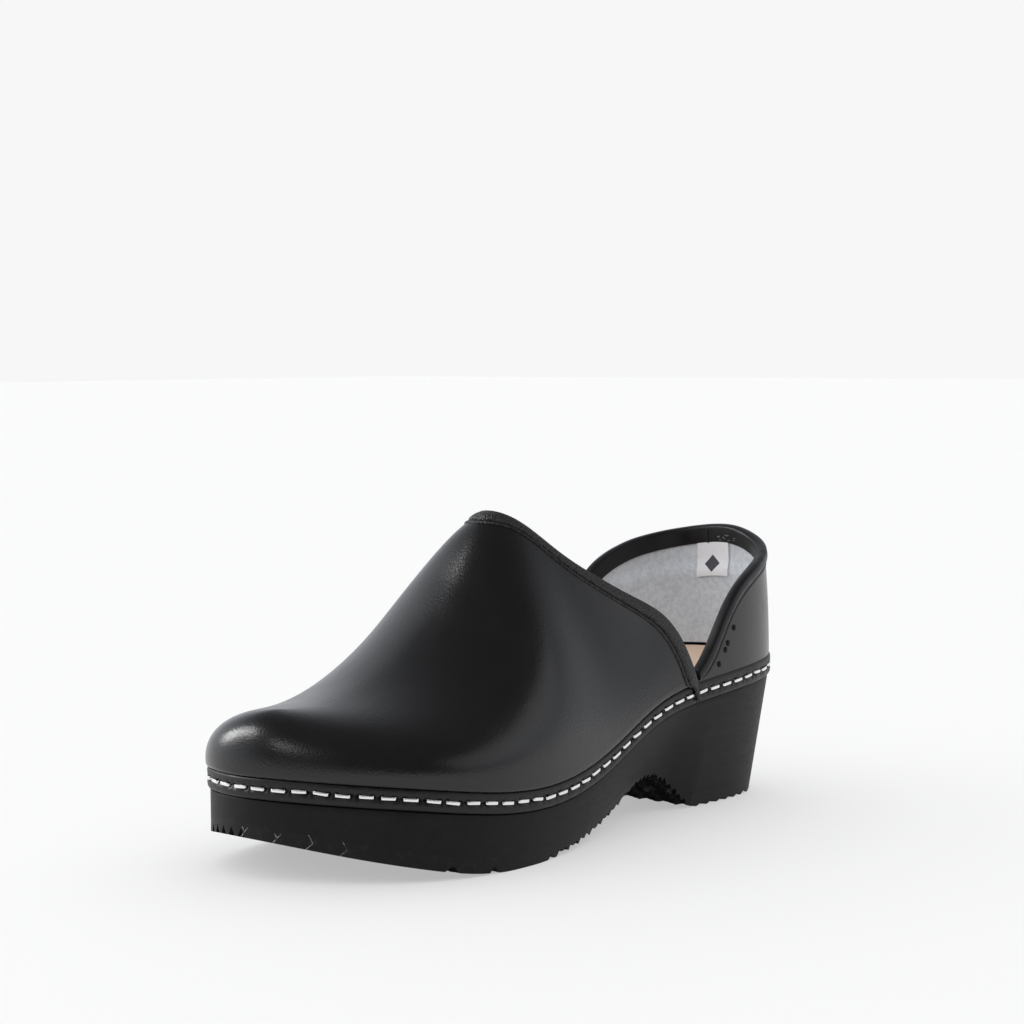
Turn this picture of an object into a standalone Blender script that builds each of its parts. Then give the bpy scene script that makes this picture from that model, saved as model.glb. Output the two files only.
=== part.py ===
"""A closed-back wooden clog for the left foot, about EU size 38.

The toe points towards -Y and the heel towards +Y. +X is the lateral (outer) side and +Z is up. The origin is on the
floor, under the middle of the shoe's bounding box. Shapes are worked out in millimetres and scaled to metres when a
mesh is made.

Two outlines drive everything: the feather line, which is the plan outline of the wooden sole where the upper meets it,
and the tread profile, which is the height of the rubber's underside along the foot. The upper is two skins, the vamp
over the forefoot and the quarter round the heel. Each skin is worked out once, and its layers (leather, stiffener,
lining, binding) lie at their own depths below it.
"""

import bmesh
import bpy
import numpy as np
from mathutils import Matrix

MM = 0.001
GAP = 0.3  # clearance between touching pieces
CENTRING = (-1.3, 3.25, 0)  # brings the middle of the shoe's bounding box over the origin

# Feather line in plan, from the toe tip round the lateral side to the heel and back (x, y).
FEATHER_POINTS = (
    (-12, -132), (18, -121), (42, -96), (50.5, -64), (49, -33), (42, 12), (39, 51), (36.5, 92),
    (24, 117.5), (-1, 125.5), (-24, 117), (-34.5, 90), (-34, 45), (-41, -10), (-48, -61), (-45, -97), (-34.5, -122),
)
# Height of the middle of the welt along the foot (y, z).
WELT_HEIGHTS = (
    (-132, 31.5), (-100, 28), (-65, 23.4), (-30, 24), (0, 31.5), (30, 42.5), (60, 47.5), (90, 50), (127, 52),
)
# Height of the tread along the foot: toe spring, ball, arch, and the front edge of the heel (y, z).
TREAD_HEIGHTS = (
    (-134, 14.5), (-117, 9.3), (-100, 5), (-82, 1.4), (-66, 0), (-50, 0), (-20, 2.2), (0, 6), (15, 10.2),
    (33, 15.4), (47, 11.5), (56, 4.8), (63, 0),
)
HEEL_FRONT_Y = 63
HEEL_BACK_BEVEL = (112, 0.012)  # where the heel's rear bevel starts, and its rise per mm squared
# How far the tread's edge is drawn in from the feather line (y, inset).
WALL_TAPERS = ((-132, -1.2), (-60, -1.2), (-12, 2.8), (40, 9.5), (110, 6.2))

# Sole layers.
WALL_OFFSET = 1.4  # the wood's outer face, outside the feather line
REBATE_DEPTH = 3.3  # step cut round the top of the wood, for the upper's edge and the welt
REBATE_BOTTOM = -4.0  # heights of the upper's edge are measured from the middle of the welt
WOOD_TOP = 1.0
FOOTBED_DISH = 3.0
RUBBER_THICKNESS = 5.5
INSOCK_THICKNESS = 1.5
INSOCK_INSET = 1.2  # clear of the lining
SPINE_INSET = 32  # the footbed's dish ends this far from the toe and heel

# Upper layers.
LEATHER = 1.8
STIFFENER = 1.1
LINING = 0.7
BINDING = 0.9
BINDING_GAP = 0.6
BINDING_OUTER_WIDTH = 5.0
BINDING_INNER_WIDTH = 6.4
WELT_THICKNESS = 1.4
WELT_BOTTOM = -3.6
WELT_TOP = 3.3
UPPER_BASE = 4.6  # where the skins leave the welt
VAMP_OFFSET = 2.9
QUARTER_OFFSET = 1.9
LASTED_OFFSET = 0.4  # the leather behind the welt

# Vamp: junction with the quarter, crest line and sections.
VAMP_END_Y = 50.6
# Height that the sections rise towards (y, z). Behind the topline's peak it only lifts the sides of the opening.
CREST_HEIGHTS = (
    (-132, 57.3), (-110, 56.3), (-85, 61.3), (-60, 79), (-47, 95.3), (-35, 112.4), (-25, 118.9), (-10, 119.1),
    (10, 126), (30, 156), (50, 232),
)
SPINE_START = (-3, -120)
SPINE_END = (8, -27.5)
SECTION_STATIONS = (0, 0.39, 1)  # toe tip, ball, junction
SECTION_LEAN = (-0.05, -0.17, 0.28)
SECTION_SIDE = (0.64, 0.62, 0.25)
SECTION_TOP = (0.55, 0.4, 0.45)
TOPLINE_EASE = 0.33
TOE_PUFF_END = 0.4

# Quarter: topline height above the welt by distance from the heel's back (0) to the junction (1).
QUARTER_END_Y = 53.4
QUARTER_TOPS = ((-0.2, 45.7), (0, 49), (0.2, 45.7), (0.4, 40.8), (0.6, 36), (0.8, 24.3), (0.93, 9.8), (1, 4.2))
MEDIAL_RISE = 1.105  # the medial side's topline is a little higher
QUARTER_LEANS = ((0, 2.5), (0.5, 1.3), (1, 0))  # how far the topline leans in
COUNTER_REACH = 0.5
COUNTER_HEIGHT = 0.6

# Staples that hold the upper: their pitches along the welt, and one staple's crown.
VAMP_STAPLE_PITCH = 7.25
QUARTER_STAPLE_PITCH = 7.7
STAPLE_CROWN = (4.6, 0.5, 1.3)  # along the welt, out of it, and up
LATERAL_STAPLES = 29
QUARTER_STAPLES = 15

# A folded woven tag inside the heel, and where it starts along the quarter.
LABEL_WIDTH = 15.9
LABEL_HEIGHT = 13.6
LABEL_THICKNESS = 0.6
LABEL_START = -0.035

# How finely the skins are sampled.
VAMP_STATIONS = 21
VAMP_UP = np.linspace(0, 1, 11)
QUARTER_STATIONS = 37
RING_PAIRS = 36


# ---- curves -------------------------------------------------------------------------------------------------------


def spline(knots, x):
    """A natural cubic spline through (x, value) knots, held level past both ends."""
    table = np.array(knots, float)
    at, value = table[:, 0], table[:, 1]
    step = np.diff(at)
    system = np.eye(len(at))
    slopes = np.zeros(len(at))
    for i in range(1, len(at) - 1):
        system[i, i - 1 : i + 2] = step[i - 1], 2 * (step[i - 1] + step[i]), step[i]
        slopes[i] = 6 * ((value[i + 1] - value[i]) / step[i] - (value[i] - value[i - 1]) / step[i - 1])
    bend = np.linalg.solve(system, slopes)
    x = np.clip(x, at[0], at[-1])
    i = np.clip(np.searchsorted(at, x) - 1, 0, len(step) - 1)
    left = (at[i + 1] - x) / step[i]
    right = 1 - left
    cubic = (left**3 - left) * bend[i] + (right**3 - right) * bend[i + 1]
    return left * value[i] + right * value[i + 1] + cubic * step[i] ** 2 / 6


def closed_curve(points, samples):
    """Evenly spread samples of a smooth closed curve through the points."""
    points = np.array(points, float)
    wrapped = np.vstack([points[-4:], points, points[:5]])
    chords = np.linalg.norm(np.diff(wrapped, axis=0), axis=1)
    at = np.concatenate([[0], np.cumsum(chords)]) - chords[:4].sum()
    total = at[4 + len(points)]
    t = np.linspace(0, total, samples, endpoint=False)
    return np.column_stack([spline(np.column_stack([at, wrapped[:, k]]), t) for k in (0, 1)])


def trace_feather():
    """Points, outward normals and arc fractions along the feather line, starting at the foremost point."""
    points = closed_curve(FEATHER_POINTS, 2400)
    points = np.roll(points, -points[:, 1].argmin(), axis=0)
    tangent = np.roll(points, -1, axis=0) - np.roll(points, 1, axis=0)
    normal = np.column_stack([tangent[:, 1], -tangent[:, 0]])
    normal /= np.linalg.norm(normal, axis=1)[:, None]
    points = np.vstack([points, points[:1]])
    normal = np.vstack([normal, normal[:1]])
    arc = np.concatenate([[0], np.cumsum(np.linalg.norm(np.diff(points, axis=0), axis=1))])
    return points, normal, arc / arc[-1], arc[-1]


FEATHER, FEATHER_NORMAL, FEATHER_ARC, FEATHER_LENGTH = trace_feather()
HEEL_BACK = FEATHER_ARC[FEATHER[:, 1].argmax()]


def feather_at(fraction, offset=0.0):
    """(x, y) at a fraction of the feather line's length from the toe tip, moved outwards by offset."""
    wrapped = np.mod(fraction, 1.0)
    point = np.stack([np.interp(wrapped, FEATHER_ARC, FEATHER[:, k]) for k in (0, 1)], -1)
    normal = np.stack([np.interp(wrapped, FEATHER_ARC, FEATHER_NORMAL[:, k]) for k in (0, 1)], -1)
    return point + normal * np.asarray(offset)[..., None]


def fraction_at(y, lateral):
    """The fraction of the feather line at a given y, on one side of the foot."""
    side = FEATHER_ARC <= HEEL_BACK if lateral else FEATHER_ARC >= HEEL_BACK
    order = np.argsort(FEATHER[side, 1])
    return np.interp(y, FEATHER[side, 1][order], FEATHER_ARC[side][order])


def welt_height(y):
    return spline(WELT_HEIGHTS, y)


def tread_height(y):
    start, rise = HEEL_BACK_BEVEL
    heel = rise * np.maximum(y - start, 0) ** 2
    return np.where(y < HEEL_FRONT_Y, np.maximum(spline(TREAD_HEIGHTS, y), 0), heel)


def smoothstep(low, high, x):
    t = np.clip((x - low) / (high - low), 0, 1)
    return t * t * (3 - 2 * t)


# ---- the two skins of the upper ------------------------------------------------------------------------------------

VAMP_LATERAL = fraction_at(VAMP_END_Y, True)
VAMP_MEDIAL = fraction_at(VAMP_END_Y, False)
QUARTER_LATERAL = fraction_at(QUARTER_END_Y, True)
QUARTER_MEDIAL = fraction_at(QUARTER_END_Y, False)


def lasted_edge(fraction, height, offset):
    """A point of the upper's lower edge, at a height from the middle of the welt."""
    plan = feather_at(fraction, offset)
    return np.concatenate([plan, (welt_height(plan[..., 1]) + height)[..., None]], -1)


def vamp_side(along, up, lateral):
    """Points of one side of the vamp: along from the toe tip (0) to the topline (1), up from the welt to the crest."""
    along, up = np.broadcast_arrays(along, up)
    fraction = along * VAMP_LATERAL if lateral else 1 - along * (1 - VAMP_MEDIAL)
    base = lasted_edge(fraction, UPPER_BASE, np.full(along.shape, VAMP_OFFSET))
    mean_y = (feather_at(along * VAMP_LATERAL) + feather_at(1 - along * (1 - VAMP_MEDIAL)))[..., 1] / 2
    station = (mean_y - FEATHER[0, 1]) / (VAMP_END_Y - FEATHER[0, 1])
    spine = np.array(SPINE_START) + (np.array(SPINE_END) - np.array(SPINE_START)) * station[..., None]
    lean, side, top = (
        spline(list(zip(SECTION_STATIONS, values)), station) for values in (SECTION_LEAN, SECTION_SIDE, SECTION_TOP)
    )
    near = 3 * (1 - up) ** 2 * up
    far = 3 * (1 - up) * up**2
    inward = near * lean * side + far * (1 - top) + up**3
    raised = near * side + far + up**3
    eased = (1 - TOPLINE_EASE) * (3 * up**2 - 2 * up**3) + TOPLINE_EASE * (2 * up - up**2)
    forward = inward + (eased - inward) * smoothstep(0, 1, station)
    x = base[..., 0] + (spine[..., 0] - base[..., 0]) * inward
    y = base[..., 1] + (spine[..., 1] - base[..., 1]) * forward
    z = base[..., 2] + (spline(CREST_HEIGHTS, y) - base[..., 2]) * raised
    return np.stack([x, y, z], -1)


def vamp_skin(along, up):
    """Rows of points across the vamp, each from the lateral welt over the crest to the medial welt."""
    along, up = np.meshgrid(along, up, indexing="ij")
    lateral = vamp_side(along, up, True)
    medial = vamp_side(along, up, False)
    return np.concatenate([lateral, medial[:, -2::-1]], axis=1)


def lasted_rows(fraction, offset):
    """The part of a skin that lies behind the welt, from its lower edge up."""
    heights = (WELT_BOTTOM + 0.2, 0.0, WELT_TOP)
    return np.stack([lasted_edge(fraction, h, np.full(fraction.shape, offset)) for h in heights], 1)


def quarter_skin(across, up):
    """Columns of the quarter: across from the lateral junction (-1) round the heel (0) to the medial one (1)."""
    across, up = np.meshgrid(across, up, indexing="ij")
    fraction = HEEL_BACK + np.where(across < 0, HEEL_BACK - QUARTER_LATERAL, QUARTER_MEDIAL - HEEL_BACK) * across
    reach = np.abs(across)
    height = spline(QUARTER_TOPS, reach) * np.where(across > 0, 1 + (MEDIAL_RISE - 1) * smoothstep(0, 0.5, across), 1)
    offset = QUARTER_OFFSET - spline(QUARTER_LEANS, reach) * up**2
    skin = lasted_edge(fraction, UPPER_BASE, offset)
    skin[..., 2] += (height - UPPER_BASE + 3) * up
    return skin, fraction[:, 0]


def normals(skin, closed_toe):
    """Unit normals of a skin. A closed toe's first row is its own mirror image."""
    if closed_toe:
        skin = np.concatenate([skin[1:2, ::-1], skin])
    along = np.gradient(skin, axis=0, edge_order=2)
    across = np.gradient(skin, axis=1, edge_order=2)
    normal = np.cross(along, across)
    if closed_toe:
        normal = normal[1:]
        middle = normal.shape[1] // 2
        normal[0, middle] = normal[0, middle - 1] + normal[0, middle + 1]
    return normal / np.linalg.norm(normal, axis=-1, keepdims=True)


def sunk(skin, depth, closed_toe=False):
    """The skin moved against its normals by a depth, which may differ from point to point."""
    depth = np.broadcast_to(depth, skin.shape[:2])
    return skin - normals(skin, closed_toe) * depth[..., None]


# ---- mesh building -------------------------------------------------------------------------------------------------


def collection_named(name):
    found = bpy.data.collections.new(name)
    bpy.context.scene.collection.children.link(found)
    return found


def origin_named(name):
    """An empty that carries all the pieces."""
    origin = bpy.data.objects.new(name, None)
    origin.location = [value * MM for value in CENTRING]
    CLOG.objects.link(origin)
    return origin


def material_named(name, colour, roughness, metallic=0.0):
    material = bpy.data.materials.new(name)
    material.use_nodes = True
    shader = material.node_tree.nodes["Principled BSDF"]
    shader.inputs["Base Color"].default_value = (*colour, 1)
    shader.inputs["Roughness"].default_value = roughness
    shader.inputs["Metallic"].default_value = metallic
    return material


def mesh_from(name, mesh_data, material):
    """A mesh in metres, from a bmesh in millimetres."""
    bmesh.ops.remove_doubles(mesh_data, verts=mesh_data.verts, dist=0.001)
    bmesh.ops.recalc_face_normals(mesh_data, faces=mesh_data.faces)
    bmesh.ops.scale(mesh_data, vec=(MM, MM, MM), verts=mesh_data.verts)
    mesh = bpy.data.meshes.new(name)
    mesh_data.to_mesh(mesh)
    mesh_data.free()
    mesh.materials.append(material)
    mesh.shade_smooth()
    mesh.set_sharp_from_angle(angle=np.radians(40))
    return mesh


def add_piece(name, mesh):
    """A named piece of the clog, which moves with it."""
    piece = bpy.data.objects.new(name, mesh)
    piece.parent = CLOG_ORIGIN
    CLOG.objects.link(piece)
    return piece


def grid_faces(mesh_data, grid, facing_back=False):
    """Quads over a grid of points. Both ways round split along the same diagonals, so layers stay parallel."""
    rows = [[mesh_data.verts.new(point) for point in row] for row in grid]
    for lower, upper in zip(rows, rows[1:]):
        for k in range(len(lower) - 1):
            corners = (lower[k], lower[k + 1], upper[k + 1], upper[k])
            if facing_back:
                corners = (corners[0], *corners[:0:-1])
            mesh_data.faces.new(corners)


def layer(name, outer, inner, material):
    """A closed sheet between two skins with the same number of points."""
    mesh_data = bmesh.new()
    grid_faces(mesh_data, outer)
    grid_faces(mesh_data, inner, facing_back=True)
    for edge in (
        (outer[:, 0], inner[:, 0]), (outer[:, -1], inner[:, -1]), (outer[0], inner[0]), (outer[-1], inner[-1]),
    ):
        if np.allclose(edge[0], edge[0][::-1]):
            continue  # a closed toe has no edge there
        grid_faces(mesh_data, np.stack(edge))
    add_piece(name, mesh_from(name, mesh_data, material))


def stack_of_rings(name, rings, material):
    """A closed solid through rings of points, whose first and last rings are closed by strips across the foot."""
    mesh_data = bmesh.new()
    loops = [[mesh_data.verts.new(point) for point in ring] for ring in rings]
    count = len(loops[0])
    for upper, lower in zip(loops, loops[1:]):
        for k in range(count):
            mesh_data.faces.new((upper[k], upper[k - 1], lower[k - 1], lower[k]))
    for loop in (loops[0], loops[-1]):
        for k in range(count // 2):
            corners = (loop[k], loop[k + 1], loop[-k - 1], loop[-k])
            mesh_data.faces.new(dict.fromkeys(corners))
    add_piece(name, mesh_from(name, mesh_data, material))


# ---- the sole ------------------------------------------------------------------------------------------------------


def paired_fractions(pairs):
    """Fractions round the feather line, whose lateral and medial points lie at the same y."""
    low, high = FEATHER[:, 1].min(), FEATHER[:, 1].max()
    y = low + (high - low) * (1 - np.cos(np.linspace(0, np.pi, pairs + 1))) / 2
    lateral = fraction_at(y, True)
    medial = fraction_at(y, False)
    return np.concatenate([[0], lateral[1:-1], [HEEL_BACK], medial[-2:0:-1]])


RING = paired_fractions(RING_PAIRS)


def wall_ring(share, lift):
    """A ring of the sole's side wall, at a share of the way up from the tread, raised by lift above it."""
    y = feather_at(RING)[:, 1]
    taper = spline(WALL_TAPERS, y)
    tread = tread_height(feather_at(RING, -taper)[:, 1])
    wall = welt_height(y) + REBATE_BOTTOM - tread
    rise = lift + (wall - lift) * share
    plan = feather_at(RING, (WALL_OFFSET + taper) * rise / wall - taper)
    return np.column_stack([plan, tread + rise])


def footbed_ring(offset, inward, lift):
    """A ring of the dished footbed, drawn towards the foot's middle line by the share inward."""
    plan = feather_at(RING, offset)
    low, high = FEATHER[:, 1].min() + SPINE_INSET, FEATHER[:, 1].max() - SPINE_INSET
    middle_y = np.clip(plan[:, 1], low, high)
    middle_x = (feather_at(fraction_at(middle_y, True)) + feather_at(fraction_at(middle_y, False)))[:, 0] / 2
    middle = np.column_stack([middle_x, middle_y])
    plan = plan + (middle - plan) * inward
    dish = FOOTBED_DISH * (1 - (1 - inward) ** 2)
    return np.column_stack([plan, welt_height(plan[:, 1]) + WOOD_TOP + lift - dish])


def make_wooden_sole():
    inner = WALL_OFFSET - REBATE_DEPTH
    corner = lasted_edge(RING, REBATE_BOTTOM, np.full(RING.shape, inner))
    rings = [footbed_ring(inner, share, 0) for share in (0.8, 0.3)]
    rings += [lasted_edge(RING, WOOD_TOP, np.full(RING.shape, inner)), corner]
    rings += [wall_ring(share, RUBBER_THICKNESS + GAP) for share in (1.0, 0.6, 0.25, 0.0)]
    return stack_of_rings("wooden_sole", rings, BLACK_WOOD)


def make_rubber_outsole():
    top = wall_ring(0.0, RUBBER_THICKNESS)
    bottom = wall_ring(0.0, 0.0)
    return stack_of_rings("rubber_outsole", [top, bottom], RUBBER)


def make_insock():
    edge = WALL_OFFSET - REBATE_DEPTH - INSOCK_INSET
    shares = (0.8, 0.3, 0.0)
    rings = [footbed_ring(edge, share, GAP + INSOCK_THICKNESS) for share in shares]
    rings += [footbed_ring(edge, share, GAP) for share in shares[::-1]]
    return stack_of_rings("insock", rings, TAN_LEATHER)


# ---- the upper -----------------------------------------------------------------------------------------------------


def make_vamp():
    along = np.linspace(0, 1, VAMP_STATIONS)
    skin = vamp_skin(along, VAMP_UP)
    faces = []
    for depth in (0.0, LEATHER):
        lateral = lasted_rows(along * VAMP_LATERAL, LASTED_OFFSET - depth)
        medial = lasted_rows(1 - along * (1 - VAMP_MEDIAL), LASTED_OFFSET - depth)
        faces.append(np.concatenate([lateral, sunk(skin, depth, True), medial[:, ::-1]], axis=1))
    layer("vamp_leather", *faces, BLACK_LEATHER)

    below = LEATHER + GAP
    over_puff = 1 - smoothstep(TOE_PUFF_END, TOE_PUFF_END + 0.12, along)
    depth = below + (STIFFENER + GAP) * over_puff[:, None]
    layer("vamp_lining", sunk(skin, depth, True), sunk(skin, depth + LINING, True), FELT)

    puff = skin[along <= TOE_PUFF_END + 1e-6, 1:-1]
    layer("toe_puff", sunk(puff, below, True), sunk(puff, below + STIFFENER, True), STIFF_BOARD)


def counter_cover(across, up):
    """How far the quarter's lining is pushed in by the heel counter."""
    reach = 1 - smoothstep(COUNTER_REACH, COUNTER_REACH + 0.15, np.abs(across))
    height = 1 - smoothstep(COUNTER_HEIGHT, COUNTER_HEIGHT + 0.15, up)
    return (STIFFENER + GAP) * reach[:, None] * height[None, :]


def make_quarter():
    across = np.linspace(-1, 1, QUARTER_STATIONS)
    up = np.linspace(0, 1, 8)
    skin, fraction = quarter_skin(across, up)
    faces = [
        np.concatenate([lasted_rows(fraction, LASTED_OFFSET - depth), sunk(skin, depth)], axis=1)
        for depth in (0.0, LEATHER)
    ]
    layer("quarter_leather", *faces, BLACK_LEATHER)

    below = LEATHER + GAP
    depth = below + counter_cover(across, up)
    layer("quarter_lining", sunk(skin, depth), sunk(skin, depth + LINING), FELT)

    held = skin[np.abs(across) <= COUNTER_REACH + 1e-6][:, up <= COUNTER_HEIGHT]
    layer("heel_counter", sunk(held, below), sunk(held, below + STIFFENER), STIFF_BOARD)


def skin_frame(edge, width):
    """A row of the skin at a distance from its edge, with the way into the skin and the outward normal."""
    here = edge(width)
    into = edge(width + 1.0) - here
    into /= np.linalg.norm(into, axis=-1, keepdims=True)
    normal = np.cross(np.gradient(here, axis=0, edge_order=2), into)
    return here, into, normal / np.linalg.norm(normal, axis=-1, keepdims=True)


def folded_strip(name, edge, material):
    """A leather strip folded over an edge: down its outer face, over the top, and further down inside."""
    inner = LEATHER + GAP + LINING
    places = [(BINDING_OUTER_WIDTH * s, -BINDING_GAP) for s in (1.0, 0.5, 0.0)]
    for angle in np.radians((60, 120)):
        places.append((-0.8 * np.sin(angle), inner / 2 - (inner / 2 + BINDING_GAP) * np.cos(angle)))
    places += [(BINDING_INNER_WIDTH * s, inner + BINDING_GAP) for s in (0.0, 0.5, 1.0)]
    rows = []
    for width, depth in places:
        here, into, normal = skin_frame(edge, max(width, 0.0))
        rows.append(here + into * min(width, 0.0) - normal * depth)
    sheet = np.stack(rows, axis=1)
    layer(name, sunk(sheet, BINDING), sheet, material)


def vamp_border(width):
    """Points of the vamp at a distance from its topline, from the lateral welt over the crest to the medial one."""
    step = 0.01
    points = []
    for lateral in (True, False):
        here = vamp_side(1.0, VAMP_UP, lateral)
        spacing = np.linalg.norm(here - vamp_side(1.0 - step, VAMP_UP, lateral), axis=-1) / step
        points.append(vamp_side(1.0 - width / spacing, VAMP_UP, lateral))
    return np.concatenate([points[0], points[1][-2::-1]])


def quarter_border(width, across=np.linspace(1, -1, QUARTER_STATIONS)):
    """Points of the quarter at a distance below its topline, from the medial junction to the lateral one."""
    ends, _ = quarter_skin(across, np.array([0.0, 1.0]))
    base, top = ends[:, 0], ends[:, 1]
    run = np.gradient(top, axis=0)
    slope = np.abs(run[:, 2]) / np.linalg.norm(run[:, :2], axis=-1)
    drop = width * np.sqrt(1 + slope**2) / (top - base)[:, 2]
    drop = 0.97 * drop / (1 + drop**4) ** 0.25  # levels off where the strip is wider than the quarter is high
    return np.array([quarter_skin(np.array([a]), np.array([1 - d]))[0][0, 0] for a, d in zip(across, drop)])


def welt_strip(name, fraction):
    """A flat strip round the upper's lower edge, through the given fractions of the feather line."""
    profile = ((WELT_BOTTOM, -0.25), (WELT_BOTTOM + 0.9, 0.0), (WELT_TOP - 0.9, 0.0), (WELT_TOP, -0.25))
    inner = LASTED_OFFSET + GAP
    sizes = [(h, np.full(fraction.shape, inner + WELT_THICKNESS + bevel)) for h, bevel in profile]
    outside = [lasted_edge(fraction, h, offset) for h, offset in sizes]
    inside = [lasted_edge(fraction, h, np.full(fraction.shape, inner)) for h, _ in profile]
    layer(name, np.stack(outside, 1), np.stack(inside, 1), WELT_LEATHER)


def make_welts():
    """The two strips meet half way between the vamp and the quarter, on each side."""
    half_gap = 0.2 / FEATHER_LENGTH
    lateral = (VAMP_LATERAL + QUARTER_LATERAL) / 2
    medial = (VAMP_MEDIAL + QUARTER_MEDIAL) / 2
    along = np.linspace(0, 1, VAMP_STATIONS)
    round_toe = np.concatenate([-(along * (1 - VAMP_MEDIAL))[::-1], (along * VAMP_LATERAL)[1:]])
    welt_strip("vamp_welt", np.concatenate([[medial - 1 + half_gap], round_toe, [lateral - half_gap]]))
    _, round_heel = quarter_skin(np.linspace(-1, 1, QUARTER_STATIONS), VAMP_UP)
    welt_strip("quarter_welt", np.concatenate([[lateral + half_gap], round_heel, [medial - half_gap]]))


# ---- small pieces --------------------------------------------------------------------------------------------------


def lay_staple(name, mesh, fraction):
    """One staple's crown, lying along the welt's face."""
    ahead = 0.5 / FEATHER_LENGTH
    out = LASTED_OFFSET + GAP + WELT_THICKNESS + GAP + STAPLE_CROWN[1] / 2
    here, front, back = (lasted_edge(fraction + s, 0.0, np.array(out)) for s in (0, ahead, -ahead))
    along = (front - back) / np.linalg.norm(front - back)
    inward = np.cross((0, 0, 1), along)
    inward /= np.linalg.norm(inward)
    staple = add_piece(name, mesh)
    staple.location = here * MM
    staple.rotation_euler = Matrix(np.stack([along, inward, np.cross(along, inward)], axis=1)).to_euler()


def make_staples():
    """The staples of the vamp's lateral half and of the whole quarter, which share one mesh."""
    crown = bmesh.new()
    bmesh.ops.create_cube(crown, size=1)
    bmesh.ops.scale(crown, vec=STAPLE_CROWN, verts=crown.verts)
    mesh = mesh_from("staple", crown, STEEL)
    junction = (VAMP_LATERAL + QUARTER_LATERAL) / 2
    for k in range(LATERAL_STAPLES):
        lay_staple(f"vamp_staple_{k + 1:02d}", mesh, junction - (k + 0.5) * VAMP_STAPLE_PITCH / FEATHER_LENGTH)
    for k in range(QUARTER_STAPLES):
        lay_staple(f"quarter_staple_{k + 1:02d}", mesh, junction + (k + 0.5) * QUARTER_STAPLE_PITCH / FEATHER_LENGTH)


def make_label():
    """A small folded tag that hangs below the binding, inside the back of the heel on the medial side."""
    across = LABEL_START + np.linspace(0, LABEL_WIDTH, 4) / (FEATHER_LENGTH * (QUARTER_MEDIAL - HEEL_BACK))
    drop = BINDING_INNER_WIDTH + 2 * GAP + np.linspace(LABEL_HEIGHT, 0, 4)
    skin = np.stack([quarter_border(width, across) for width in drop], 1)
    depth = LEATHER + GAP + counter_cover(across, 1 - drop / QUARTER_TOPS[1][1]) + LINING + GAP
    layer("woven_label", sunk(skin, depth), sunk(skin, depth + LABEL_THICKNESS), WHITE_TAPE)


def remove_all():
    for obj in list(bpy.data.objects):
        bpy.data.objects.remove(obj, do_unlink=True)


remove_all()
CLOG = collection_named("wooden_clog")
CLOG_ORIGIN = origin_named("clog_origin")
BLACK_LEATHER = material_named("black_leather", (0.012, 0.012, 0.013), 0.38)
BINDING_LEATHER = material_named("binding_leather", (0.016, 0.016, 0.018), 0.5)
WELT_LEATHER = material_named("welt_leather", (0.010, 0.010, 0.011), 0.45)
BLACK_WOOD = material_named("black_stained_wood", (0.011, 0.011, 0.012), 0.55)
RUBBER = material_named("black_rubber", (0.012, 0.012, 0.012), 0.7)
TAN_LEATHER = material_named("tan_leather", (0.52, 0.36, 0.24), 0.6)
FELT = material_named("grey_lining", (0.42, 0.44, 0.45), 0.9)
STIFF_BOARD = material_named("stiffener_board", (0.35, 0.28, 0.2), 0.8)
STEEL = material_named("steel_wire", (0.8, 0.8, 0.8), 0.25, 1.0)
WHITE_TAPE = material_named("white_tape", (0.8, 0.8, 0.8), 0.7)

make_wooden_sole()
make_rubber_outsole()
make_insock()
make_vamp()
make_quarter()
folded_strip("vamp_binding", vamp_border, BINDING_LEATHER)
folded_strip("quarter_binding", quarter_border, BINDING_LEATHER)
make_welts()
make_label()
make_staples()
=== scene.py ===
"""The finished look of a closed-back wooden clog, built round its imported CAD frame.

The clog stands on its ball and heel: -Y is the toe, +Y the heel, +X the outer side of the left foot, +Z up.
Shapes are worked out in millimetres, in the same way as the CAD part works them out, from the feather line
(the plan outline where the upper meets the wood) and the height of the welt along the foot. They are scaled
to metres when a mesh is made.
"""

import math
from functools import partial

import bmesh
import bpy
import numpy as np
from mathutils import Matrix, Quaternion, Vector


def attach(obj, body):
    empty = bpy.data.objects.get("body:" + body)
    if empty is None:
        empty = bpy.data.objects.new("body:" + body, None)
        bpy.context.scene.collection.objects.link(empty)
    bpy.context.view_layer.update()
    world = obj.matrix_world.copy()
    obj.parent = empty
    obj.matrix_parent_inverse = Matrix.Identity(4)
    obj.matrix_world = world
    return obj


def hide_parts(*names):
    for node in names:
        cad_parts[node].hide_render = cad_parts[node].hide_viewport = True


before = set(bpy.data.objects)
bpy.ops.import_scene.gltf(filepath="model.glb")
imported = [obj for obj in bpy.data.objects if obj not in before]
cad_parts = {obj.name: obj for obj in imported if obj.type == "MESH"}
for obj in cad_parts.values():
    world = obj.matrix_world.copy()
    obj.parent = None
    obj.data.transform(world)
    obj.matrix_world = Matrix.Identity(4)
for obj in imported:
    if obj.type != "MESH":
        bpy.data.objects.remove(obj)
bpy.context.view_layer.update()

MM = 0.001
CENTRING = np.array([-1.3, 3.25, 0])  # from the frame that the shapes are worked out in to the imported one

# ---- driving dimensions in millimetres, as in the CAD part ----

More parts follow.
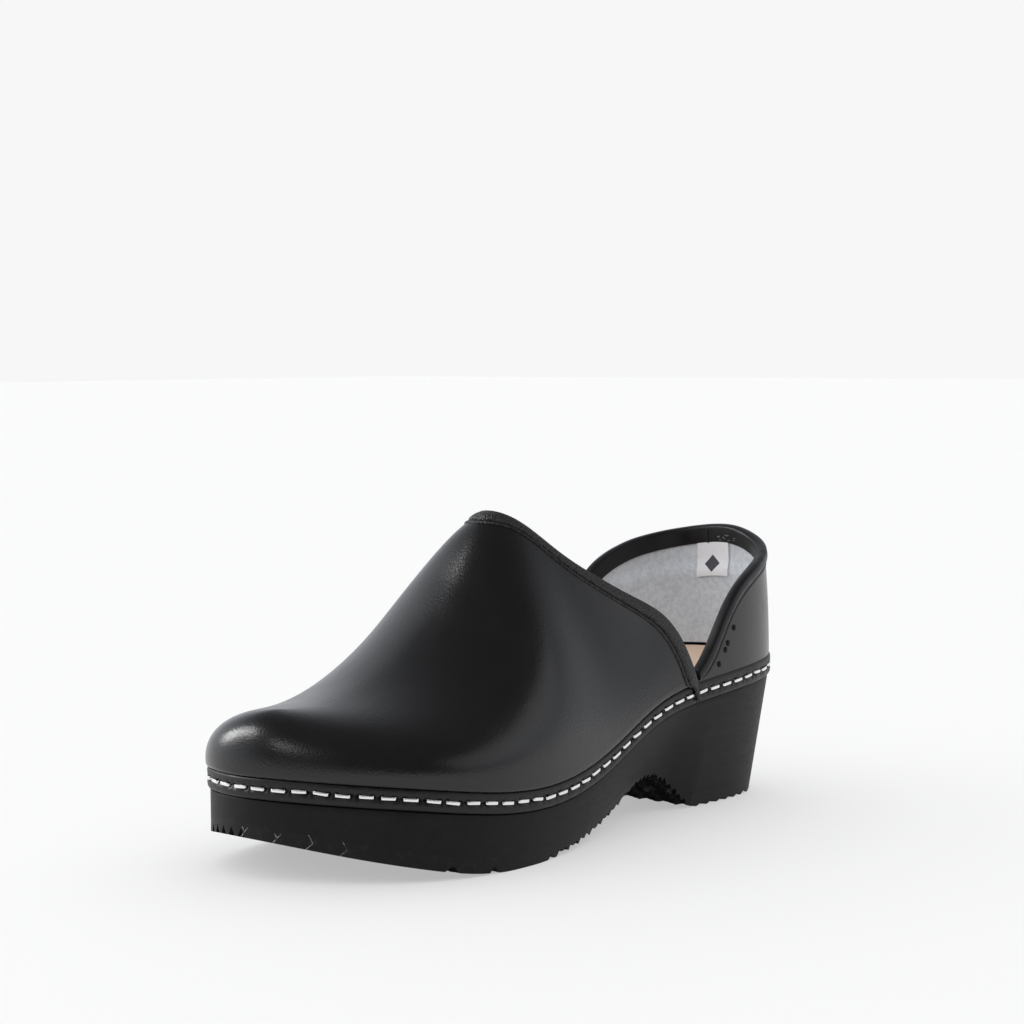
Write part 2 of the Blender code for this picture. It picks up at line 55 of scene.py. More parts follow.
FEATHER_POINTS = (
    (-12, -132), (18, -121), (42, -96), (50.5, -64), (49, -33), (42, 12), (39, 51), (36.5, 92),
    (24, 117.5), (-1, 125.5), (-24, 117), (-34.5, 90), (-34, 45), (-41, -10), (-48, -61), (-45, -97),
    (-34.5, -122),
)
WELT_HEIGHTS = (
    (-132, 31.5), (-100, 28), (-65, 23.4), (-30, 24), (0, 31.5), (30, 42.5), (60, 47.5), (90, 50),
    (127, 52),
)
TREAD_HEIGHTS = (
    (-134, 14.5), (-117, 9.3), (-100, 5), (-82, 1.4), (-66, 0), (-50, 0), (-20, 2.2), (0, 6), (15, 10.2),
    (33, 15.4), (47, 11.5), (56, 4.8), (63, 0),
)
HEEL_FRONT_Y = 63
HEEL_BACK_BEVEL = (112, 0.012)
WALL_TAPERS = ((-132, -1.2), (-60, -1.2), (-12, 2.8), (40, 9.5), (110, 6.2))

WALL_OFFSET = 1.4
REBATE_DEPTH = 3.3
REBATE_BOTTOM = -4.0
WOOD_TOP = 1.0
FOOTBED_DISH = 3.0
RUBBER_THICKNESS = 5.5
GAP = 0.3
INSOCK_THICKNESS = 1.5
INSOCK_INSET = 1.2
SPINE_INSET = 32

LEATHER = 1.8
STIFFENER = 1.1
LINING = 0.7
WELT_TOP = 3.3
UPPER_BASE = 4.6
VAMP_OFFSET = 2.9
QUARTER_OFFSET = 1.9

VAMP_END_Y = 50.6
CREST_HEIGHTS = (
    (-132, 57.3), (-110, 56.3), (-85, 61.3), (-60, 79), (-47, 95.3), (-35, 112.4), (-25, 118.9), (-10, 119.1),
    (10, 126), (30, 156), (50, 232),
)
SPINE_START = (-3, -120)
SPINE_END = (8, -27.5)
SECTION_LEAN = ((0, -0.05), (0.39, -0.17), (1, 0.28))
SECTION_SIDE = ((0, 0.64), (0.39, 0.62), (1, 0.25))
SECTION_TOP = ((0, 0.55), (0.39, 0.4), (1, 0.45))
TOPLINE_EASE = 0.33
TOE_PUFF_END = 0.4
TOE_PUFF_EASE = 0.12

QUARTER_END_Y = 53.4
QUARTER_TOPS = (
    (-0.2, 45.7), (0, 49), (0.2, 45.7), (0.4, 40.8), (0.6, 36), (0.8, 24.3), (0.93, 9.8), (1, 4.2),
)
MEDIAL_RISE = 1.105
QUARTER_LEANS = ((0, 2.5), (0.5, 1.3), (1, 0))
COUNTER_REACH = 0.5
COUNTER_HEIGHT = 0.6
COUNTER_EASE = 0.15

VAMP_STAPLE_PITCH = 7.25
QUARTER_STAPLE_PITCH = 7.7
LATERAL_STAPLES = 29
QUARTER_STAPLES = 15

# ---- dimensions of the finer detail ----

# Where the leather rolls out over the welt: height over the welt's middle, offset from the feather line.
LASTED_ROLL = ((-3.3, 0.4), (0, 0.4), (2.9, 0.45), (3.35, 1.2), (3.5, 1.9))
ROLL_END = (0.3, 0.62)  # the roll's end, as shares of the way up to UPPER_BASE and out to the skin
# Section of a binding's outer face: distance in from the topline, and height off the leather.
BINDING_SECTION = (
    (6.2, 0.03), (6.1, 0.4), (5.7, 0.56), (5.25, 0.46), (5.0, 0.06), (4.4, 0.06), (4.15, 0.5), (3.5, 0.88),
    (2.6, 1.02), (1.4, 1.02), (0.4, 0.86),
)
# The same on the quarter, whose stitches lie at the binding's very edge.
ROLLED_SECTION = (
    (4.9, 0.03), (4.82, 0.24), (4.4, 0.28), (4.02, 0.12), (3.6, 0.12), (3.35, 0.4), (2.9, 0.7), (2.1, 0.9),
    (1.2, 0.97), (0.4, 0.86),
)
ROLLED_STITCH_LINE = 3.72
# Rows of the tails of the vamp's binding: distance past its end, and share of its full size.
TAIL_ROWS = ((0.8, 0.75), (1.6, 0.45), (2.6, 0.36), (5.2, 0.34), (7.6, 0.32))
BINDING_STITCH_LINE = 4.7
BINDING_INNER_WIDTH = 6.4
BINDING_INNER_LIFT = 0.85
INNER_SIDE = -(LEATHER + GAP + LINING)  # the lining's inner face, as a height off the leather's outer face
STITCH_LENGTH = 2.4
STITCH_GAP = 0.7
STITCH_RADIUS = 0.2
STAPLE_LENGTH = 4.9
STAPLE_WIDTH = 1.15
STAPLE_WIRE = 0.42
STAPLE_LEG = 1.3
STAPLE_BEND = 0.55
DIMPLE_DEPTH = 1.3
DIMPLE_RADIUS = 0.95
LABEL_WIDTH = 15.9
LABEL_HEIGHT = 15.4
LABEL_THICKNESS = 0.5
LABEL_START = -0.035
LABEL_MARK = 3.6  # from the diamond's middle to its corners
LABEL_CURL = 0.35

# Section of a welt from its foot up its outer face: height over its middle, offset from the feather line.
WELT_SECTION = ((-3.7, 0.7), (-3.8, 1.3), (-3.6, 1.9), (-2.9, 2.3), (-1.9, 2.42), (-1.0, 2.38), (0.0, 2.3))
WELT_UPPER_SECTION = ((0.9, 2.38), (1.7, 2.44), (2.6, 2.42), (3.15, 2.28), (3.4, 2.0), (3.2, 0.7))
WELT_PRESS = 0.12  # how far the row of staples pulls the welt in
QUARTER_WELT_RISE = 0.5
STAPLE_OUT = 2.42
# How unevenly the staples are driven: depth and share of their length, millimetres off their place, degrees.
STAPLE_VARIATION = 0.03
STAPLE_DRIFT = 0.15
STAPLE_TILT = 2.5
BINDING_RISE = 1.3
TACK_REACHES = (0.752, 0.797, 0.815, 0.86)
TACK_INSET = 8.6
TACK_LENGTH = 1.1
TACK_RADIUS = 0.72
BACK_TACK_AT = -0.03
BACK_TACK_SPREAD = 0.055
BACK_TACK_WIDTHS = (2.5, 7.2)  # how far in from the topline its turns lie
BACK_TACK_RADIUS = 0.11
BACK_TACK_STITCHES = 9
SPLICE_AT = 0.078  # the ridge where the quarter binding's ends overlap
SPLICE_WIDTHS = (0.4, 2.3, 4.2, 6.1)
SPLICE_RADIUS = 0.45
EDGE_EASE = 0.35
LINING_FOOT = -0.02  # the quarter's lining runs this share of the quarter's height below its base
LOWEST_DROP = 0.97  # the share of the quarter's height that its binding's rows never pass
WOOD_LIFT = RUBBER_THICKNESS + 0.02
FOOTBED_SHARES = (1.0, 0.85, 0.7, 0.5, 0.3, 0.15, 0.05, 0.0)

# Zones of grooves across the tread: first and last y, spacing, depth and half-width.
TREAD_ZONES = (
    (-89, -60, 16.0, 1.9, 2.0), (-43.5, -39, 5.0, 1.3, 1.6), (-38, 15, 4.4, 1.8, 2.1),
    (-35.8, 15, 8.8, 1.1, 1.0), (16, 60, 3.1, 1.5, 1.6), (17.2, 60, 7.3, 2.3, 1.0), (64, 124, 6.3, 1.1, 2.6),
)
GROOVE_STEEPNESS = 1.4
ZIGZAG_DEPTH = 2.2
ZIGZAG_PERIOD = 9.0
# Nicks round the toe: first and last arc length from its tip, spacing, depth, half-width, length inwards.
TOE_NICKS = (-63.8, 3, 4.7, 3.1, 1.6, 7.0)
TREAD_ROWS = 700
TREAD_COLUMNS = 34
# Pale mould lines, forked or bent: their points along and up from a foot.
FORKED_LINE = (((0, 0), (1.5, 1.9), (2.9, 3.4)), ((1.5, 1.9), (0.6, 3.3)))
BENT_LINE = (((0, 0), (2.4, 2.4), (1.0, 5.0)),)
MOULD_LINE_FOOT = 0.1  # over the tread
# Each one's foot, as an arc length from the toe tip, its radius and its kind.
MOULD_LINES = (
    (2.2, 0.16, FORKED_LINE), (14.6, 0.15, FORKED_LINE), (26.0, 0.14, BENT_LINE), (37.3, 0.11, BENT_LINE),
)

# How finely the surfaces are sampled.
VAMP_STATIONS = 150
VAMP_UP = np.linspace(0, 1, 76)
QUARTER_STATIONS = 200
QUARTER_UP = np.linspace(0, 1, 40)
RING_PAIRS = 150
WELT_STEP = 0.45  # mm between the welt's rows

# ---- camera and stage ----

VIEW_AZIMUTH = 41.68
VIEW_ELEVATION = 7.48
VIEW_DISTANCE = 889.4
VIEW_TARGET = CENTRING + (0, 0, 60)
FOCAL_LENGTH = 83.74  # mm on a 36 mm sensor
VIEW_TURNS = (("Y", 0.2694), ("X", 3.6345), ("Z", -0.26))  # off the target, in degrees
FLOOR_TONES = ((0.385, 0.385, 0.385), (0.4, 0.4, 0.4))
FLOOR_GLOW = 0.44
SURROUND = (0.93, 0.93, 0.93)
WALLS = (0.9, 0.93, 0.99)
CEILING = 0.14
CEILING_CENTRE = (0.32, -0.15, 0.935)
CEILING_EDGE = (-0.4, 0.95)  # cosines, to the ceiling's centre, between which the walls turn into the ceiling
ROOM_BEHIND_CAMERA = 0.12
ROOM_EDGE = (0.2, 0.8)  # cosines, to the camera's direction, between which the room turns dark
# The windows that the leather mirrors: direction from the clog, distance, size, tilt and power.
WINDOWS = (
    ((-0.745, -0.52, 0.46), 3.0, (2.5, 0.65), 34, 60),
    ((0.09, -0.87, 0.485), 3.0, (0.6, 0.6), 0, 5),
    ((0.82, 0.42, 0.38), 3.0, (2.6, 1.4), 0, 6.5),
)
LIGHT_TARGET = 0.06  # metres over the floor
DOME_DIRECTION = (-0.35, 0.0, 1.0)
DOME_ANGLE = 150
DOME_STRENGTH = 3.45
FLOOR_REACH = 12


# ---- curves, as in the CAD part ----


def unit(vectors):
    return vectors / np.linalg.norm(vectors, axis=-1, keepdims=True)


def distance_along(points):
    """How far each point of a line lies from its first one, measured along the line."""
    return np.concatenate([[0], np.cumsum(np.linalg.norm(np.diff(points, axis=0), axis=-1))])


def spline(knots, x):
    """A natural cubic spline through (x, value) knots, held level past both ends."""
    table = np.array(knots, float)
    at, value = table[:, 0], table[:, 1]
    step = np.diff(at)
    system = np.eye(len(at))
    slopes = np.zeros(len(at))
    for i in range(1, len(at) - 1):
        system[i, i - 1 : i + 2] = step[i - 1], 2 * (step[i - 1] + step[i]), step[i]
        slopes[i] = 6 * ((value[i + 1] - value[i]) / step[i] - (value[i] - value[i - 1]) / step[i - 1])
    bend = np.linalg.solve(system, slopes)
    x = np.clip(x, at[0], at[-1])
    i = np.clip(np.searchsorted(at, x) - 1, 0, len(step) - 1)
    left = (at[i + 1] - x) / step[i]
    right = 1 - left
    cubic = (left**3 - left) * bend[i] + (right**3 - right) * bend[i + 1]
    return left * value[i] + right * value[i + 1] + cubic * step[i] ** 2 / 6


def closed_curve(points, samples):
    """Evenly spread samples of a smooth closed curve through the points."""
    points = np.array(points, float)
    wrapped = np.vstack([points[-4:], points, points[:5]])
    at = distance_along(wrapped)
    at -= at[4]
    t = np.linspace(0, at[4 + len(points)], samples, endpoint=False)
    return np.column_stack([spline(np.column_stack([at, wrapped[:, k]]), t) for k in (0, 1)])


def trace_feather():
    """Points, outward normals and arc fractions along the feather line, starting at the foremost point."""
    points = closed_curve(FEATHER_POINTS, 2400)
    points = np.roll(points, -points[:, 1].argmin(), axis=0)
    tangent = np.roll(points, -1, axis=0) - np.roll(points, 1, axis=0)
    normal = unit(np.column_stack([tangent[:, 1], -tangent[:, 0]]))
    points = np.vstack([points, points[:1]])
    normal = np.vstack([normal, normal[:1]])
    arc = distance_along(points)
    return points, normal, arc / arc[-1], arc[-1]


FEATHER, FEATHER_NORMAL, FEATHER_ARC, FEATHER_LENGTH = trace_feather()
HEEL_BACK = FEATHER_ARC[FEATHER[:, 1].argmax()]


def feather_at(fraction, offset=0.0):
    """(x, y) at a fraction of the feather line's length from the toe tip, moved outwards by offset."""
    wrapped = np.mod(fraction, 1.0)
    point = np.stack([np.interp(wrapped, FEATHER_ARC, FEATHER[:, k]) for k in (0, 1)], -1)
    normal = np.stack([np.interp(wrapped, FEATHER_ARC, FEATHER_NORMAL[:, k]) for k in (0, 1)], -1)
    return point + normal * np.asarray(offset)[..., None]


def fraction_at(y, lateral):
    """The fraction of the feather line at a given y, on one side of the foot."""
    side = FEATHER_ARC <= HEEL_BACK if lateral else FEATHER_ARC >= HEEL_BACK
    order = np.argsort(FEATHER[side, 1])
    return np.interp(y, FEATHER[side, 1][order], FEATHER_ARC[side][order])


def welt_height(y):
    """The height of the welt's middle over the floor."""
    return spline(WELT_HEIGHTS, y)


def tread_height(y):
    """The height of the tread's underside over the floor."""
    start, rise = HEEL_BACK_BEVEL
    heel = rise * np.maximum(y - start, 0) ** 2
    return np.where(y < HEEL_FRONT_Y, np.maximum(spline(TREAD_HEIGHTS, y), 0), heel)


def smoothstep(low, high, x):
    t = np.clip((x - low) / (high - low), 0, 1)
    return t * t * (3 - 2 * t)


# ---- the two skins of the upper, as in the CAD part ----

VAMP_LATERAL = fraction_at(VAMP_END_Y, True)
VAMP_MEDIAL = fraction_at(VAMP_END_Y, False)
QUARTER_LATERAL = fraction_at(QUARTER_END_Y, True)
QUARTER_MEDIAL = fraction_at(QUARTER_END_Y, False)
JUNCTION_LATERAL = (VAMP_LATERAL + QUARTER_LATERAL) / 2
JUNCTION_MEDIAL = (VAMP_MEDIAL + QUARTER_MEDIAL) / 2
# Where the vamp's welt, and then the quarter's, starts and ends, as arc lengths from the toe tip.
WELT_ENDS = FEATHER_LENGTH * np.array([JUNCTION_MEDIAL - 1, JUNCTION_LATERAL, JUNCTION_MEDIAL])
PARTS = ("vamp", "quarter")


def lasted_edge(fraction, height, offset):
    """A point of the upper's lower edge, at a height from the middle of the welt."""
    plan = feather_at(fraction, offset)
    return np.concatenate([plan, (welt_height(plan[..., 1]) + height)[..., None]], -1)


def vamp_side(along, up, lateral):
    """Points of a side of the vamp: along from the toe tip (0) to the topline (1), up from welt to crest."""
    along, up = np.broadcast_arrays(along, up)
    fraction = along * VAMP_LATERAL if lateral else 1 - along * (1 - VAMP_MEDIAL)
    base = lasted_edge(fraction, UPPER_BASE, VAMP_OFFSET)
    mean_y = (feather_at(along * VAMP_LATERAL) + feather_at(1 - along * (1 - VAMP_MEDIAL)))[..., 1] / 2
    station = (mean_y - FEATHER[0, 1]) / (VAMP_END_Y - FEATHER[0, 1])
    spine = np.array(SPINE_START) + np.subtract(SPINE_END, SPINE_START) * station[..., None]
    lean, side, top = (spline(knots, station) for knots in (SECTION_LEAN, SECTION_SIDE, SECTION_TOP))
    near = 3 * (1 - up) ** 2 * up
    far = 3 * (1 - up) * up**2
    inward = near * lean * side + far * (1 - top) + up**3
    raised = near * side + far + up**3
    eased = (1 - TOPLINE_EASE) * (3 * up**2 - 2 * up**3) + TOPLINE_EASE * (2 * up - up**2)
    forward = inward + (eased - inward) * smoothstep(0, 1, station)
    x = base[..., 0] + (spine[..., 0] - base[..., 0]) * inward
    y = base[..., 1] + (spine[..., 1] - base[..., 1]) * forward
    z = base[..., 2] + (spline(CREST_HEIGHTS, y) - base[..., 2]) * raised
    return np.stack([x, y, z], -1)


def vamp_skin(along, up):
    """Rows of points across the vamp, each from the lateral welt over the crest to the medial welt."""
    along, up = np.meshgrid(along, up, indexing="ij")
    lateral = vamp_side(along, up, True)
    medial = vamp_side(along, up, False)
    return np.concatenate([lateral, medial[:, -2::-1]], axis=1)


def quarter_fraction(across):
    """The fraction of the feather line at a place across the quarter."""
    reach = np.where(across < 0, HEEL_BACK - QUARTER_LATERAL, QUARTER_MEDIAL - HEEL_BACK)
    return HEEL_BACK + reach * across


def quarter_rise(across):
    """The topline's height over the quarter's base."""
    raised = np.where(across > 0, 1 + (MEDIAL_RISE - 1) * smoothstep(0, 0.5, across), 1)
    return spline(QUARTER_TOPS, np.abs(across)) * raised - UPPER_BASE + 3


def quarter_points(across, up):
    """Points of the quarter: across from its lateral end (-1) round the heel (0) to its medial one (1)."""
    offset = QUARTER_OFFSET - spline(QUARTER_LEANS, np.abs(across)) * up**2
    points = lasted_edge(quarter_fraction(across), UPPER_BASE, offset)
    points[..., 2] += quarter_rise(across) * up
    return points


def quarter_skin(across, up):
    """Columns of the quarter, each from the welt up to the topline."""
    return quarter_points(*np.meshgrid(across, up, indexing="ij"))


def normals(skin, closed_toe):
    """Unit normals of a skin. A closed toe's first row is its own mirror image."""
    if closed_toe:
        skin = np.concatenate([skin[1:2, ::-1], skin])
    along = np.gradient(skin, axis=0, edge_order=2)
    across = np.gradient(skin, axis=1, edge_order=2)
    normal = np.cross(along, across)
    if closed_toe:
        normal = normal[1:]
        middle = normal.shape[1] // 2
        normal[0, middle] = normal[0, middle - 1] + normal[0, middle + 1]
    return unit(normal)


def sunk(skin, depth, closed_toe=False):
    """The skin moved against its normals by a depth, which may differ from point to point."""
    depth = np.broadcast_to(depth, skin.shape[:2])
    return skin - normals(skin, closed_toe) * depth[..., None]


def lasted_rows(fraction, offset_shift, first_offset):
    """The part of a skin that lies behind the welt and rolls out over it, from its lower edge up."""
    height, offset = LASTED_ROLL[-1]
    up, out = ROLL_END
    roll = [*LASTED_ROLL, (height + (UPPER_BASE - height) * up, offset + (first_offset - offset) * out)]
    return np.stack([lasted_edge(fraction, height, offset - offset_shift) for height, offset in roll], 1)


def counter_cover(across, up):
    """How far the quarter's lining is pushed in by the heel counter."""
    reach = 1 - smoothstep(COUNTER_REACH, COUNTER_REACH + COUNTER_EASE, np.abs(across))
    height = 1 - smoothstep(COUNTER_HEIGHT, COUNTER_HEIGHT + COUNTER_EASE, up)
    return (STIFFENER + GAP) * reach[:, None] * height[None, :]


def vamp_border(width, up=VAMP_UP):
    """Points of the vamp at a distance from its topline, from the lateral welt to the medial one."""
    step = 0.01
    points = []
    for lateral in (True, False):
        here = vamp_side(1.0, up, lateral)
        spacing = np.linalg.norm(here - vamp_side(1.0 - step, up, lateral), axis=-1) / step
        points.append(vamp_side(1.0 - width / spacing, up, lateral))
    return np.concatenate([points[0], points[1][-2::-1]])


def quarter_border(width, across=np.linspace(1, -1, QUARTER_STATIONS)):
    """Points of the quarter at a distance below its topline, from the medial junction to the lateral one."""
    run = np.gradient(quarter_points(across, np.ones(across.shape)), axis=0)
    slope = np.abs(run[:, 2]) / np.linalg.norm(run[:, :2], axis=-1)
    drop = width * np.sqrt(1 + slope**2) / quarter_rise(across)
    drop = LOWEST_DROP * drop / (1 + np.abs(drop) ** 4) ** 0.25
    return quarter_points(across, 1 - drop)


def skin_frame(edge, width):
    """A row of the skin at a distance from its edge, with the way into the skin and the outward normal."""
    here = edge(width)
    into = unit(edge(width + 1.0) - here)
    normal = np.cross(np.gradient(here, axis=0, edge_order=2), into)
    return here, into, unit(normal)


# ---- meshes ----


def add_object(name, data):
    thing = bpy.data.objects.new(name, data)
    bpy.context.scene.collection.objects.link(thing)
    return thing


def add_mesh(name, mesh, material):
    data = bpy.data.meshes.new(name)
    mesh.to_mesh(data)
    mesh.free()
    data.materials.append(material)
    return add_object(name, data)


def add_piece(name, mesh, material, node=None, sharp_angle=50):
    """A smooth piece of the clog from a bmesh in millimetres. It stands for the CAD node, if one is named."""
    bmesh.ops.remove_doubles(mesh, verts=mesh.verts, dist=0.002)
    bmesh.ops.recalc_face_normals(mesh, faces=mesh.faces)
    bmesh.ops.translate(mesh, vec=Vector(CENTRING), verts=mesh.verts)
    bmesh.ops.scale(mesh, vec=(MM, MM, MM), verts=mesh.verts)
    piece = add_mesh(name, mesh, material)
    piece.data.shade_smooth()
    piece.data.set_sharp_from_angle(angle=math.radians(sharp_angle))
    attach(piece, "root")
    if node:
        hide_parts(node)


def running_length(points, axis):
    """Distance along an axis of a grid of points, from its first row or column, taken through its middle."""
    steps = np.linalg.norm(np.diff(points, axis=axis), axis=-1)
    middle = steps[:, steps.shape[1] // 2] if axis == 0 else steps[steps.shape[0] // 2]
    return np.concatenate([[0], np.cumsum(middle)])


def grid_mesh(grid, wrap_across=False, cap_ends=False, mesh=None):
    """Quads over a grid of points, with a UV map in metres: u across the rows and v along them."""
    mesh = mesh or bmesh.new()
    layer = mesh.loops.layers.uv.verify()
    if wrap_across:
        grid = np.concatenate([grid, grid[:, :1]], axis=1)
    u = running_length(grid, 0) * MM
    v = running_length(grid, 1) * MM
    rows = [[mesh.verts.new(point) for point in row] for row in grid]
    for i in range(len(rows) - 1):
        for k in range(len(rows[0]) - 1):
            corners = ((i, k), (i, k + 1), (i + 1, k + 1), (i + 1, k))
            face = mesh.faces.new([rows[a][b] for a, b in corners])
            for loop, (a, b) in zip(face.loops, corners):
                loop[layer].uv = (u[a], v[b])
    if cap_ends:
        for row in (rows[0], rows[-1]):
            mesh.faces.new(row[:-1] if wrap_across else row)
    return mesh


def sheet_mesh(skin, depth, thickness, closed_toe=False):
    """A closed sheet whose outer face lies at a depth under the skin."""
    faces = (sunk(skin, depth, closed_toe), sunk(skin, depth + thickness, closed_toe))
    return shell_mesh(*faces, closed_toe)


def shell_mesh(outer, inner, closed_toe=False):
    """A closed sheet between two skins: its outer face, its inner face and the strips that join them."""
    mesh = grid_mesh(np.concatenate([outer, inner[:, ::-1]], axis=1), wrap_across=True)
    for row in (0, -1):
        if closed_toe and row == 0:
            continue
        grid_mesh(np.stack([outer[row], inner[row]]), mesh=mesh)
    return mesh


def ring_mesh(rings):
    """A closed solid through rings of points. Strips across the foot close the first and the last ring."""
    mesh = bmesh.new()
    loops = [[mesh.verts.new(point) for point in ring] for ring in rings]
    count = len(loops[0])
    for upper, lower in zip(loops, loops[1:]):
        for k in range(count):
            mesh.faces.new((upper[k], upper[k - 1], lower[k - 1], lower[k]))
    for loop in (loops[0], loops[-1]):
        for k in range(count // 2):
            corners = (loop[k], loop[k + 1], loop[-k - 1], loop[-k])
            mesh.faces.new(dict.fromkeys(corners))
    return mesh


def capsule(mesh, start, end, radius, sides=6):
    """Adds a thread-like capsule from start to end to the mesh."""
    start, end = Vector(start), Vector(end)
    axis = end - start
    turn = Quaternion((0, 0, 1), 0) if axis.length == 0 else axis.to_track_quat("Z", "Y")
    end_cap = ((0.55, 0.75), (0.9, 0.0))
    rings = [(-h, r) for h, r in end_cap[::-1]] + [(0.0, 1.0), (axis.length / radius, 1.0)]
    rings += [(axis.length / radius + h, r) for h, r in end_cap]
    angles = np.linspace(0, 2 * math.pi, sides, endpoint=False)
    points = [
        [start + turn @ Vector((r * math.cos(a), r * math.sin(a), h)) * radius for a in angles]
        for h, r in rings
    ]
    grid_mesh(np.array(points), wrap_across=True, mesh=mesh)


def add_cord(mesh, points, radius, sides=6):
    """Adds a cord of capsules through the points to the mesh."""
    for start, end in zip(points, points[1:]):
        capsule(mesh, start, end, radius, sides)


# ---- materials ----


class Nodes:
    """A node tree, with short ways to add the nodes that the materials and the room need."""

    def __init__(self, tree):
        self.tree = tree
        self.place = tree.nodes.new("ShaderNodeTexCoord").outputs
        self.where = self.place["Object"]

    def fill(self, node, sockets):
        """Gives a node's inputs, by name or number, a value or a link from another node's output."""
        for key, value in sockets.items():
            if isinstance(value, bpy.types.NodeSocket):
                self.tree.links.new(value, node.inputs[key])
            else:
                node.inputs[key].default_value = value

    def add(self, kind, sockets, output=0, **settings):
        """The output of a new node."""
        node = self.tree.nodes.new("ShaderNode" + kind)
        for name, value in settings.items():
            setattr(node, name, value)
        self.fill(node, sockets)
        return node.outputs[output]

    def noise(self, scale, detail=2.0, roughness=0.5, stretch=None):
        """Noise, which may be stretched by a scale for each axis."""
        where = self.add("Mapping", {"Vector": self.where, "Scale": stretch}) if stretch else self.where
        sockets = {"Vector": where, "Scale": scale, "Detail": detail, "Roughness": roughness}
        return self.add("TexNoise", sockets, "Fac")

    def cells(self, scale):
        return self.add("TexVoronoi", {"Vector": self.where, "Scale": scale}, "Distance")

    def compute(self, operation, *values):
        return self.add("Math", dict(enumerate(values)), operation=operation)

    def ranged(self, value, low, high, start=0.0, end=1.0):
        """The value, which runs from start to end, spread over low to high."""
        return self.add("MapRange", {0: value, 1: start, 2: end, 3: low, 4: high})

    def blended(self, share, first, second):
        """A colour between two, by a share."""
        ends = [c if isinstance(c, bpy.types.NodeSocket) else (*c, 1) for c in (first, second)]
        return self.add("Mix", {0: share, 6: ends[0], 7: ends[1]}, 2, data_type="RGBA")


class Finish(Nodes):
    """A material, whose nodes feed its Principled shader."""

    def __init__(self, name, colour, roughness, metallic=0.0):
        self.material = bpy.data.materials.new(name)
        self.material.use_nodes = True
        super().__init__(self.material.node_tree)
        self.shader = self.tree.nodes["Principled BSDF"]
        self.normal = None
        self.fill(self.shader, {"Base Color": (*colour, 1), "Roughness": roughness, "Metallic": metallic})

    def colour(self, share, first, second):
        """Spreads the surface's colour between two, by a share."""
        self.fill(self.shader, {"Base Color": self.blended(share, first, second)})

    def roughness(self, value, low, high):
        """Spreads the roughness over low to high by a noise, whose values mostly lie from 0.3 to 0.7."""
        self.fill(self.shader, {"Roughness": self.ranged(value, low, high, 0.3, 0.7)})

    def specular(self, level):
        self.fill(self.shader, {"Specular IOR Level": level})

    def bump(self, height, strength, distance):
        """Lays a bump of the given depth in metres over the bumps that are there."""
        sockets = {"Height": height, "Strength": strength, "Distance": distance}
        if self.normal:
            sockets["Normal"] = self.normal
        self.normal = self.add("Bump", sockets)
        self.fill(self.shader, {"Normal": self.normal})


def smooth_leather():
    """Oiled black leather: very fine grain, and a shine that varies softly."""
    made = Finish("smooth_black_leather", (0.0045, 0.0046, 0.0052), 0.34)
    patches = made.noise(28, 3)
    made.fill(made.shader, {"Roughness": made.ranged(patches, 0.22, 0.31, 0.35, 0.65)})
    made.colour(made.noise(120, 4), (0.0035, 0.0035, 0.004), (0.0055, 0.0056, 0.0064))
    made.bump(made.noise(45, 2), 0.25, 0.0004)
    made.bump(made.cells(1300), 0.5, 0.00008)
    made.bump(made.noise(700, 4, 0.6), 0.2, 0.0001)
    return made.material


def pebbled_leather():
    """The vamp binding's thinner leather, with a pebble grain."""
    made = Finish("pebbled_black_leather", (0.014, 0.014, 0.016), 0.5)
    grain = made.cells(1250)
    made.fill(made.shader, {"Roughness": made.ranged(grain, 0.4, 0.62, 0.0, 0.7)})
    made.colour(grain, (0.009, 0.009, 0.0105), (0.003, 0.003, 0.0035))
    made.specular(0.7)
    made.bump(made.noise(2600, 2), 0.3, 0.00006)
    made.bump(grain, 1.0, 0.0004)
    return made.material


def rolled_leather():
    """The quarter binding's smoother, shinier leather."""
    made = Finish("rolled_black_leather", (0.012, 0.012, 0.014), 0.4)
    ripples = made.noise(320, 3)
    made.roughness(made.noise(160, 3), 0.3, 0.48)
    made.colour(ripples, (0.0035, 0.0035, 0.0045), (0.007, 0.007, 0.0085))
    made.specular(0.33)
    made.bump(made.cells(1800), 0.3, 0.00007)
    made.bump(ripples, 0.4, 0.00022)
    return made.material


def welt_leather():
    """The welt's dull strip, a little scuffed."""
    made = Finish("welt_black_leather", (0.010, 0.010, 0.011), 0.45)
    scuffs = made.noise(240, 4, 0.6)
    made.roughness(scuffs, 0.36, 0.56)
    made.colour(made.ranged(scuffs, 0, 1, 0.4, 0.75), (0.0045, 0.0045, 0.005), (0.012, 0.012, 0.0125))
    made.specular(0.35)
    made.bump(scuffs, 0.5, 0.00018)
    return made.material


def stained_wood():
    """Black-stained wood, whose grain runs along the foot."""
    made = Finish("black_stained_wood", (0.011, 0.011, 0.0115), 0.5)
    fibres = made.noise(1, 4, 0.6, (900, 45, 900))
    broad = made.noise(1, 3, stretch=(160, 12, 160))
    made.roughness(fibres, 0.46, 0.56)
    grain = made.compute("MULTIPLY", fibres, made.ranged(broad, 0.7, 1.1, 0.3, 0.7))
    worn = made.compute("MULTIPLY", grain, made.noise(190, 4, 0.65))
    made.colour(worn, (0.005, 0.005, 0.0055), (0.02, 0.0195, 0.0195))
    made.specular(0.16)
    made.bump(broad, 0.15, 0.0002)
    made.bump(fibres, 0.3, 0.00008)
    return made.material


